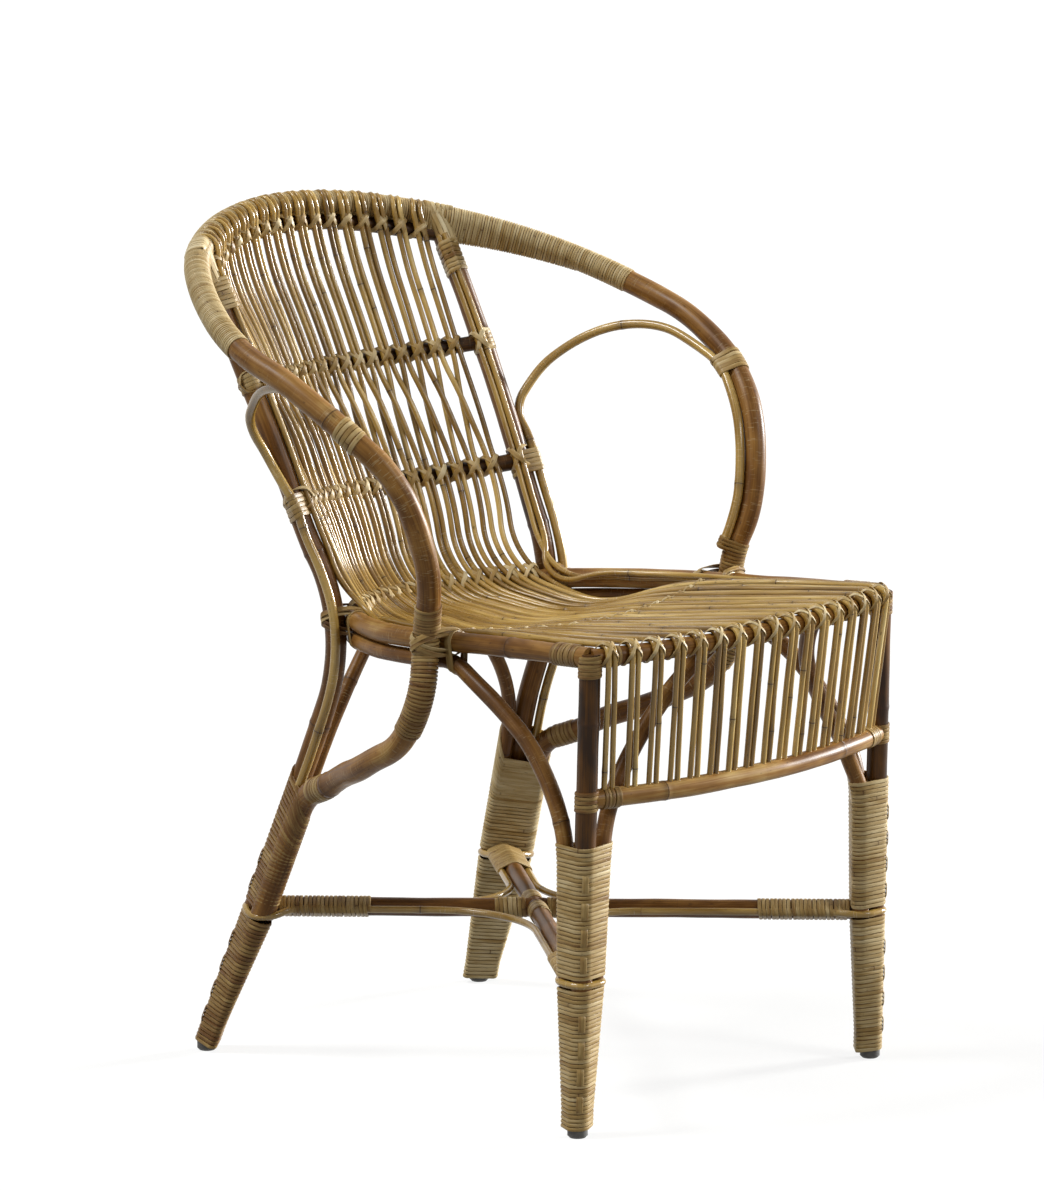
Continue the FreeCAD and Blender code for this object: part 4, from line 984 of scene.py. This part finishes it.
def make_canes():
    """Pairs of canes, split thin at the top where they go in between the strips of the rim."""
    for column in range(COLUMNS):
        skin = Skin(f"cane_pair_{column + 1:02d}_canes")
        for hand in (-1, 1):
            upper = across_fan(column)
            crosses = 0 <= column + hand < COLUMNS
            lower = across_fan(column + hand) if crosses else upper
            line = cane_line(upper, hand, lower, -hand if crosses else hand)
            thick = radius("cane") * skin.rng.uniform(0.95, 1.04)
            grow(skin, line, thick, skin.rng.gauss(0.5, 0.13), stray=0.22,
                 taper=lambda s: min(1.0, 0.45 + 0.55 * s / SPLIT_LENGTH), **CANE_GROWTH)
            x = upper * FAN["top"] + hand * HALF_PAIR
            stops = [rim_place(x, turn, WRAP_THICK * 0.8) for turn in range(50, 191, 20)]
            ribbon(skin, stops, width=1.3, thick=0.4, tone=-0.3, fine=3)
        skin.make(CANE, f"cane_pair_{column + 1:02d}")


def post_front(side, way):
    """The direction in which the canes lie on a post."""
    return square_to((-1.1 * side, -1, 0), way)


# The canes of a post: where they cross the seat hoop, their heights on the post and places along the hoop
POST_CANE_X = 132.0
POST_CANE_HEIGHTS = (704.0, 660.0, 612.0, 560.0, 508.0, 470.0, 440.0)
POST_CANE_STATIONS = (30.0, -20.0, -90.0, -160.0, -222.0)


def post_cane_line(name, side, hand):
    """One of the two canes on the front of a post, led over the seat hoop and along its inside."""
    points = []
    for height in POST_CANE_HEIGHTS:
        centre, way, _ = lines["post", name].at(Z, height)
        front = post_front(side, way)
        across = way.cross(front) * -1
        points.append(centre + front * apart("post", "cane", 0.2) + across * (hand * HALF_PAIR))
    points.append(on_rail("seat_hoop", side * POST_CANE_X, hand, SEAT_BACK_LIFT, on_back))
    for y in POST_CANE_STATIONS:
        centre, way, _ = hoop.at(Y, y, on_side(side))
        inner = square_to((-side, 0, 0.45 - 0.25 * hand * side), way)
        points.append(centre + inner * apart("seat_hoop", "cane")
                      + Vector((-side, 0, 0)) * (HALF_PAIR * (1 - hand * side)))
    return Line(points)


post_canes = {name: [(post_cane_line(name, side, hand), radius("cane")) for hand in (-1, 1)]
              for name, side in SIDES.items()}


def make_post_canes():
    """The outermost pairs of canes, which lie on the posts and along the inside of the seat hoop."""
    for name in SIDES:
        skin = Skin(f"post_{name}_canes")
        for line, thick in post_canes[name]:
            grow(skin, line, thick, skin.rng.gauss(0.5, 0.1), **CANE_GROWTH)
        skin.make(CANE)


# Pitch, width and tone of the strip in each winding, and its thickness where it isn't the usual one
WINDINGS = {
    "rim": (2.35, 1.95, 0.46, 1.1),
    "arm_seat": (3.3, 2.9, 0.8, 1.3),
    "arm_tie": (4.6, 4.4, 0.62),
    "arm_end": (4.4, 4.2, 0.75),
    "hoop_at_arm": (4.3, 4.1, 0.5),
    "hoop_at_post": (4.3, 4.1, 0.75),
    "post_crown": (4.4, 4.1, 0.58, 1.3),
    "post_upper": (4.2, 4.0, 0.6),
    "post_lower": (4.5, 4.3, 0.66),
    "stretcher": (3.8, 3.5, 0.66, 1.2),
    "crossing": (4.1, 3.75, 0.62),
    "corner": (3.4, 3.2, 0.82, 1.2),
    "corner_rail": (3.4, 3.2, 0.8),
    "skirt_leg": (3.6, 3.3, 0.84, 1.2),
    "skirt_rail": (3.5, 3.2, 0.74, 1.2),
}


def band(skin, kind, bundle, middle, half):
    """A short winding, half its length on each side of the middle."""
    wind(skin, bundle, middle - half, middle + half, *WINDINGS[kind])


# The rim is the arm hoop above and behind these; the top rail's tapered ends under its winding are this long
RIM_ABOVE, RIM_BEHIND = 660, 100
TOP_RAIL_END = 150.0
post_on_rim = {side: arm.at(X, side * POST_REACH, on_rim)[2] for side in (1, -1)}


def rim_bundle(s):
    """The rim, and beyond each post the tapered end of the top rail that runs on under the wrap."""
    here, way, side, other = arm.frame(s)
    circles = [(here, arm_thick(s))]
    on_top = here.z > RIM_ABOVE and here.y > RIM_BEHIND
    gone = min(abs(s - post_on_rim[1 if here.x > 0 else -1]) / TOP_RAIL_END, 1.0)
    thick = radius("top_rail") * (1 - gone)
    if on_top and abs(here.x) - POST_REACH > -12 and thick > 0.4:
        tuck = square_to(UNDER_RIM, way)
        circles.append((here + tuck * (radius("arm") + thick * 0.75), thick))
    return circles, side, other


def make_rim_wrap():
    """The long winding of the rim, from one arm round the back to the other."""
    start, stop = (arm.at(Y, ARM_WRAP_Y, lambda p, s=side: abs(p.x - s * ARM_WRAP_X))[2] for side in (1, -1))
    skin = Skin("rim_wrap_strip")
    wind_closed(skin, rim_bundle, start, stop, *WINDINGS["rim"], unrest=0.12, per_turn=20)
    skin.make(STRIP, "arm_binding_left", "arm_binding_right")


def leg_bundle(end, name):
    """A leg with the poles that lie along it and bend away at the top of the wrap."""
    leg = legs[end, name]
    keys = (("brace_hoop", ("front_brace", name)), ("arm", ("rear_brace", name)))[end == "rear"]
    mates = [(lines[key], thick) for key, (_, thick, _, _) in zip(keys, leg.tails)]

    def bundle(height):
        if height < STRETCHER_HEIGHT:
            circles = leg.ring(height)
        else:
            circles = gathered(leg.on_axis(height), leg.axis, leg.radius, mates)
        return circles, leg.side, leg.other
    return bundle


# How brown the strips of each leg are; the much browner strips of the rear leg on the sitter's right are
# partly their own colour and partly painted shade
LEG_TONES_AND_SHADE = {("front", "left"): 0.52, ("front", "right"): 0.58,
             ("rear", "left"): 0.42, ("rear", "right"): 0.86}
# The legs' windings: their lower end, their thickness and half the room for the star cane; pitch and width of
# the lower ones; and for the upper ones the top, how far below it the ladder ends, the pitch and the width
WRAP_FOOT, LEG_WRAP_THICK, STAR_ROOM = 6.8, 1.5, 4.8
LOWER_WRAP = (3.8, 3.35)
UPPER_WRAPS = {"front": (260.0, 8, 3.8, 3.35), "rear": (250.0, 40, 3.5, 3.1)}
# The upper turns of a rear leg lie at a slant, which grows from this height
LEAN_FROM, LEAN_OVER, LEAN = 190.0, 60.0, 19.0


def make_leg_wraps():
    """Windings of each leg and its tails, below and above the star cane, with a woven ladder strip."""
    low_end, high_start = STRETCHER_HEIGHT - STAR_ROOM, STRETCHER_HEIGHT + STAR_ROOM
    for (end, name), leg in legs.items():
        side = SIDES[name]
        skin = Skin(f"{end}_leg_{name}_wrap")
        front = end == "front"
        # The leg's strip tone, which for the rear leg on the sitter's right includes painted shade
        tone = LEG_TONES_AND_SHADE[end, name]
        bundle = leg_bundle(end, name)
        top, ladder_end, pitch, width = UPPER_WRAPS[end]

        def lean(s, out):
            return LEAN * max(0.0, (s - LEAN_FROM) / LEAN_OVER) * out.dot(Vector((0.2 * side, 0.98, 0)))

        corner = Vector((0.67 * side, -0.74 if front else 0.74, 0))
        wind_closed(skin, bundle, WRAP_FOOT, low_end, *LOWER_WRAP, tone, LEG_WRAP_THICK)
        wind_closed(skin, bundle, high_start, top, pitch, width, tone, LEG_WRAP_THICK,
                    lean=None if front else lean)
        make_ladder(skin, leg, corner, LADDER_FOOT, low_end - LADDER_BELOW, tone)
        make_ladder(skin, leg, corner, high_start + LADDER_ABOVE, top - ladder_end, tone)
        skin.make(STRIP, f"{end}_leg_binding_{name}")


# A ladder's lower end and clear ends at the star cane; the heights and rises of a rung, its length and the
# distance to the next
LADDER_FOOT, LADDER_BELOW, LADDER_ABOVE = 25.0, 6, 8
RUNG = ((-1.5, 0.2), (1.5, 1.5), (6.5, 1.6), (11.5, 1.5), (14.5, 0.2))
RUNG_LENGTH, RUNG_STEP = 13, 24.0


def make_ladder(skin, leg, corner, low, high, tone):
    """A strip along the leg that shows over three turns and then goes under three."""
    out = square_to(corner, leg.axis)
    here = low
    while here + RUNG_LENGTH < high:
        stops = []
        for along, rise in RUNG:
            centre, r = outermost(leg.ring(here + along), out)
            stops.append((centre + out * (r + rise), out))
        ribbon(skin, stops, width=6.0, thick=0.8, tone=tone + 0.12, fine=3)
        here += RUNG_STEP


# Lashings to the seat hoop: height and half width of what is held, tone, width and thickness of the X, and
# the place and half length of the band on each side of it
SEAT_LASHINGS = {"arm": (24.0, 12.8, 0.7, 5.0, 1.0, 17.5, 4.2),
                 "post": (20.0, 10.2, 0.8, 4.8, 1.0, 16.0, 4.0)}


def lash_to_hoop(skin, held, seat, along, up, out, distance):
    """A doubled X that holds an arm or a post to the outside of the seat hoop, and a band on each side."""
    *cross, shift, half = SEAT_LASHINGS[held]
    cross_lash(skin, seat, along, up, out, radius("seat_hoop"), *cross, doubled=True)
    for middle in (distance - shift, distance + shift):
        band(skin, f"hoop_at_{held}", along_with(stem("seat_hoop"), stem("brace_hoop")), middle, half)


# Heights of the ends of the winding at the seat, and half the length of the tie of the loop
ARM_SEAT_WRAP = (452.0, 336.0)
ARM_TIE_HALF = 11.5
# The wrap where the arm meets the rear leg: the height and place of its start, and its length
ARM_END_HEIGHT, ARM_END_X, ARM_END_Y, ARM_END_LENGTH = 252.0, 170.0, 90.0, 26


def make_arm_wraps():
    """Bindings of each arm at the seat, ties of the loops and the short wrap where the arm meets the leg."""
    ties = Skin("arm_tie_strips")
    for name, side in SIDES.items():
        def near_side(p):
            return abs(p.x - side * ARM_MIDDLE_X) + abs(p.y)

        skin = Skin(f"arm_seat_{name}_wrap")
        arm_and_loop = along_with((arm, arm_thick), stem("arm_loop", name))
        high, low = (arm.at(Z, z, near_side)[2] for z in ARM_SEAT_WRAP)
        wind(skin, arm_and_loop, high, low, *WINDINGS["arm_seat"])
        seat, along, distance = hoop.at(Y, ARM_SEAT_Y, on_side(side))
        centre, up, _ = arm.at(Z, seat.z, near_side)
        up = square_to(up if up.z > 0 else -up, along)
        out = square_to(square_to(centre - seat, along), up)
        lash_to_hoop(skin, "arm", seat, along, up, out, distance)
        skin.make(STRIP, f"arm_seat_binding_{name}")

        band(ties, "arm_tie", arm_and_loop, arm.at(Z, ARM_TIE_HEIGHT, near_side)[2], ARM_TIE_HALF)
        end = arm.at(Z, ARM_END_HEIGHT, lambda p: abs(p.x - side * ARM_END_X) + abs(p.y - ARM_END_Y))[2]
        wind(ties, along_with((arm, arm_thick)), end, end + ARM_END_LENGTH * side, *WINDINGS["arm_end"])
    ties.make(STRIP, "arm_ties")


def make_cap_strip(skin, post, side, turn, end):
    """A strip laid over the rim and down the front of a post's top, into the tie below it."""
    swing = radians(turn)
    x = side * POST_REACH + radius("post") * sin(swing)
    stops = [rim_place(x, tilt, 1.4) for tilt in (150, 110, 70, 35)]
    for rise in (12.0, 4.0, -5.0):
        here, way, _, _ = post.frame(end + rise)
        front = square_to((0, -1, 0), way)
        out = turned(front, front.cross(way), -swing)
        stops.append((here + out * (radius("post") + 0.6), out))
    ribbon(skin, stops, width=4.2, thick=1.0, tone=0.45 + skin.rng.gauss(0, 0.1))


# The ties of a post: the top one's distance from the post's end and its length, the heights and half lengths
# of the two at the rails, and the height of the lashing to the seat hoop
CROWN_BELOW, CROWN_LENGTH = 23.0, 31
UPPER_TIE, UPPER_TIE_HALF = 612.0, 8
LOWER_TIE, LOWER_TIE_HALF = 505.0, 11
POST_LASHING = 407.0


def make_post_ties():
    """Ties of the back rails to the posts, and the lashing of the posts to the seat hoops."""
    for name, side in SIDES.items():
        post = lines["post", name]
        skin = Skin(f"post_{name}_ties")
        crown = post.at(Z, post.places[-1].z - CROWN_BELOW)[2]
        wind(skin, along_with(stem("post", name), *post_canes[name]), crown - CROWN_LENGTH, crown,
             *WINDINGS["post_crown"], stain=0.1)
        for turn in range(-75, 76, 25):
            make_cap_strip(skin, post, side, turn, crown)
        band(skin, "post_upper", along_with(stem("post", name)), post.at(Z, UPPER_TIE)[2], UPPER_TIE_HALF)
        band(skin, "post_lower", along_with(stem("post", name), stem("arm_loop", name)),
             post.at(Z, LOWER_TIE)[2], LOWER_TIE_HALF)
        here, up, _ = post.at(Z, POST_LASHING)
        seat = min(hoop.points, key=lambda p: (p - here).length)
        _, along, distance = hoop.at(X, seat.x, lambda p: (p - seat).length)
        lash_to_hoop(skin, "post", seat, along, square_to(up, along), square_to(here - seat, along), distance)
        skin.make(STRIP)


# Ends of the stretchers' windings: from the legs, and back from the crossing
STRETCHER_WRAP = (22.0, 104.0)
CROSSING_WRAP = (36.0, 9.5)


def make_stretcher_wraps():
    """Windings of the stretchers with the star cane beside each leg, and short ones beside the crossing."""
    beside = apart("stretcher", "star_cane")
    outer, inner = Skin("stretcher_wraps"), Skin("stretcher_crossing_wraps")
    for foot, inward, _ in ends.values():
        across = Vector((-inward.y, inward.x, 0))

        def bundle(s):
            here = foot + inward * s
            return [(here, radius("stretcher")), (here + across * beside, radius("star_cane")),
                    (here - across * beside, radius("star_cane"))], across, UP

        wind(outer, bundle, *STRETCHER_WRAP, *WINDINGS["stretcher"], stain=0.07)
        start, stop = ((crossing - foot).length - back for back in CROSSING_WRAP)
        pole = along_with((Line([foot, crossing]), radius("stretcher")))
        wind(inner, pole, start, stop, *WINDINGS["crossing"])
    outer.make(STRIP, "stretcher_bindings")
    inner.make(STRIP, "stretcher_centre_bindings")


# Wraps at a front corner of the seat: lengths on the hoop, the front rail and the skirt rail, how far they
# start from the leg, and the ends and half lengths of those on the leg
HOOP_WRAP, RAIL_WRAP, SKIRT_WRAP = 30, 14, 18
HOOP_WRAP_GAP, RAIL_WRAP_START, SKIRT_WRAP_START = 2.0, 12.0, 11.5
CORNER_HEIGHTS = (410.0, 430.0)
SKIRT_TIE_HALF = 9


def make_front_wraps():
    """Short wraps at the front corners of the seat and at the ends of the skirt rail."""
    corner_x, _, corner_height = ROUTES["seat_hoop"][0]
    ties = Skin("skirt_rail_tie_strips")
    for name, side in SIDES.items():
        leg, on_leg = lines["leg", name], along_with(stem("leg", name))

        def wrap(strips, kind, key, start, length):
            wind(strips, along_with(stem(key)), start, start + length * side, *WINDINGS[kind])

        skin = Skin(f"front_corner_{name}_wrap")
        edge = leg.at(Z, corner_height)[0].y + radius("leg") + HOOP_WRAP_GAP
        wrap(skin, "corner", "seat_hoop", hoop.at(Y, edge, on_side(side))[2], HOOP_WRAP)
        wind(skin, on_leg, *(leg.at(Z, height)[2] for height in CORNER_HEIGHTS), *WINDINGS["corner"])
        start = lines["front_rail"].at(X, side * (corner_x - RAIL_WRAP_START))[2]
        wrap(skin, "corner_rail", "front_rail", start, RAIL_WRAP)
        skin.make(STRIP, f"front_corner_binding_{name}")
        band(ties, "skirt_leg", on_leg, leg.at(Z, SKIRT_HEIGHT)[2], SKIRT_TIE_HALF)
        start = lines["skirt_rail"].at(X, side * (corner_x - SKIRT_WRAP_START))[2]
        wrap(ties, "skirt_rail", "skirt_rail", start, SKIRT_WRAP)
    ties.make(STRIP, "skirt_rail_ties")


# Heights at which the canes on the posts are lashed beside the back rails
POST_LASHES = {"upper_rail": 612.0, "lower_rail": 510.0}
LASH_TONE = 0.52


def make_lashings():
    """The crossed strips that hold each pair of canes to the rails, row by row.

    Each row has its rail, its place in the fan, the side of the rail that holds the canes if it isn't the
    front of the back, which crossing of the rail is meant, the ease over the canes and the strip's width.
    """
    half = HALF_PAIR + radius("cane")
    for name, key, fan, lift, keep, ease, width in (
            ("rim_lashings", "top_rail", "top", None, None, 1.0, 4.6),
            ("upper_rail_lashings", "upper_rail", "upper", None, None, 1.0, 4.6),
            ("lower_rail_lashings", "lower_rail", "lower", None, None, 1.0, 4.6),
            ("seat_back_lashings", "seat_hoop", "seat_back", SEAT_BACK_LIFT, on_back, 1.0, 3.9),
            ("crossbar_lashings", "crossbar", "crossbar", UP, None, 1.0, 2.6),
            ("front_rail_lashings", "front_rail", "front", Vector((0, -0.75, 0.66)), None, TOUCH, 2.8)):
        skin = Skin(name)
        cane, strip = DIAMETER["cane"], (half, LASH_TONE, width, width / 4)
        for column in range(COLUMNS):
            share = across_fan(column)
            centre, along, _ = lines[key].at(X, share * FAN[fan], keep)
            along = leftward(along)
            out = square_to(lift if lift else facing(share), along)
            cross_lash(skin, centre, along, out.cross(along), out, radius(key), cane + ease, *strip)
        for post, side in reversed(SIDES.items()) if key in POST_LASHES else ():
            centre, up, _ = lines["post", post].at(Z, POST_LASHES[key])
            out = post_front(side, up)
            cross_lash(skin, centre, up.cross(out) * -1, up, out, radius("post"), cane + 0.4, *strip)
        skin.make(STRIP)


make_poles()
make_canes()
make_post_canes()
make_rim_wrap()
make_leg_wraps()
make_arm_wraps()
make_post_ties()
make_stretcher_wraps()
make_front_wraps()
make_lashings()

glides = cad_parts["foot_glides"]
glides.data.materials.clear()
glides.data.materials.append(moulded_plastic())


def seen_plainly(holder):
    """1 where a surface is looked at, straight or in a reflection, and 0 where it only gives soft light."""
    rays = add(holder, "LightPath").outputs
    seen = compute(holder, "MAXIMUM", rays["Is Camera Ray"], rays["Is Glossy Ray"])
    return compute(holder, "MAXIMUM", seen, rays["Is Transmission Ray"])


def look(holder, way):
    holder.rotation_euler = way.to_track_quat("-Z", "Y").to_euler()


# Lamps: the direction that each stands in, its strength and its softness
LAMPS = (
    ("right_lamp", (0.95, -0.31, 0.2), 6.0, 0.25), ("top_lamp", (-0.5, 0.4, 1.0), 2.3, 0.3),
    ("front_lamp", (0.15, -0.82, 0.6), 1.0, 0.25), ("left_lamp", (-1.0, 0.2, 0.3), 0.3, 0.4),
)


def make_stage():
    """A plain pale floor, a white surround and four soft lamps, the strongest on the sitter's left."""
    finish = new_finish("pale_floor_paint")
    seen = seen_plainly(finish)
    paint = add(finish, "BsdfDiffuse", {"Color": linear("#7e7e7c")}).outputs[0]
    glow = add(finish, "Emission", {"Color": linear("#ffffff"), "Strength": 0.82}).outputs[0]
    both = add(finish, "AddShader", {0: paint, 1: glow}).outputs[0]
    mixed = add(finish, "MixShader", {0: seen, 1: paint, 2: both}).outputs[0]
    add(finish, "OutputMaterial", {"Surface": mixed})
    reach = 60.0
    mesh = bpy.data.meshes.new("floor")
    mesh.from_pydata([(-reach, -reach, 0), (reach, -reach, 0), (reach, reach, 0), (-reach, reach, 0)], [],
                     [(0, 1, 2, 3)])
    mesh.materials.append(finish)
    floor = hang("floor", mesh)

    world = bpy.data.worlds.new("studio")
    world.use_nodes = True
    world.node_tree.nodes.clear()
    seen = seen_plainly(world)
    soft, white = (add(world, "Background", {"Color": linear("#ffffff"), "Strength": strength}).outputs[0]
                   for strength in (0.06, 1.0))
    shown = add(world, "MixShader", {0: seen, 1: soft, 2: white}).outputs[0]
    add(world, "OutputWorld", {"Surface": shown})
    bpy.context.scene.world = world

    for name, way, strength, softness in LAMPS:
        lamp = bpy.data.lights.new(name, "SUN")
        lamp.energy = strength
        lamp.angle = softness
        look(hang(name, lamp), -Vector(way))


def set_camera():
    """The photograph's view: a long lens, three quarters from the front on the sitter's right."""
    spot, target = Vector((-6.05683, -5.48993, 1.99833)), Vector((-0.00045, -0.00505, 0.42114))
    camera = bpy.data.cameras.new("camera")
    camera.lens = 280.6
    camera.sensor_width = 36.0
    camera.clip_end = 100.0
    holder = hang("camera", camera)
    holder.location = spot
    look(holder, target - spot)
    bpy.context.scene.camera = holder


make_stage()
set_camera()
bpy.context.scene.view_settings.view_transform = "Standard"
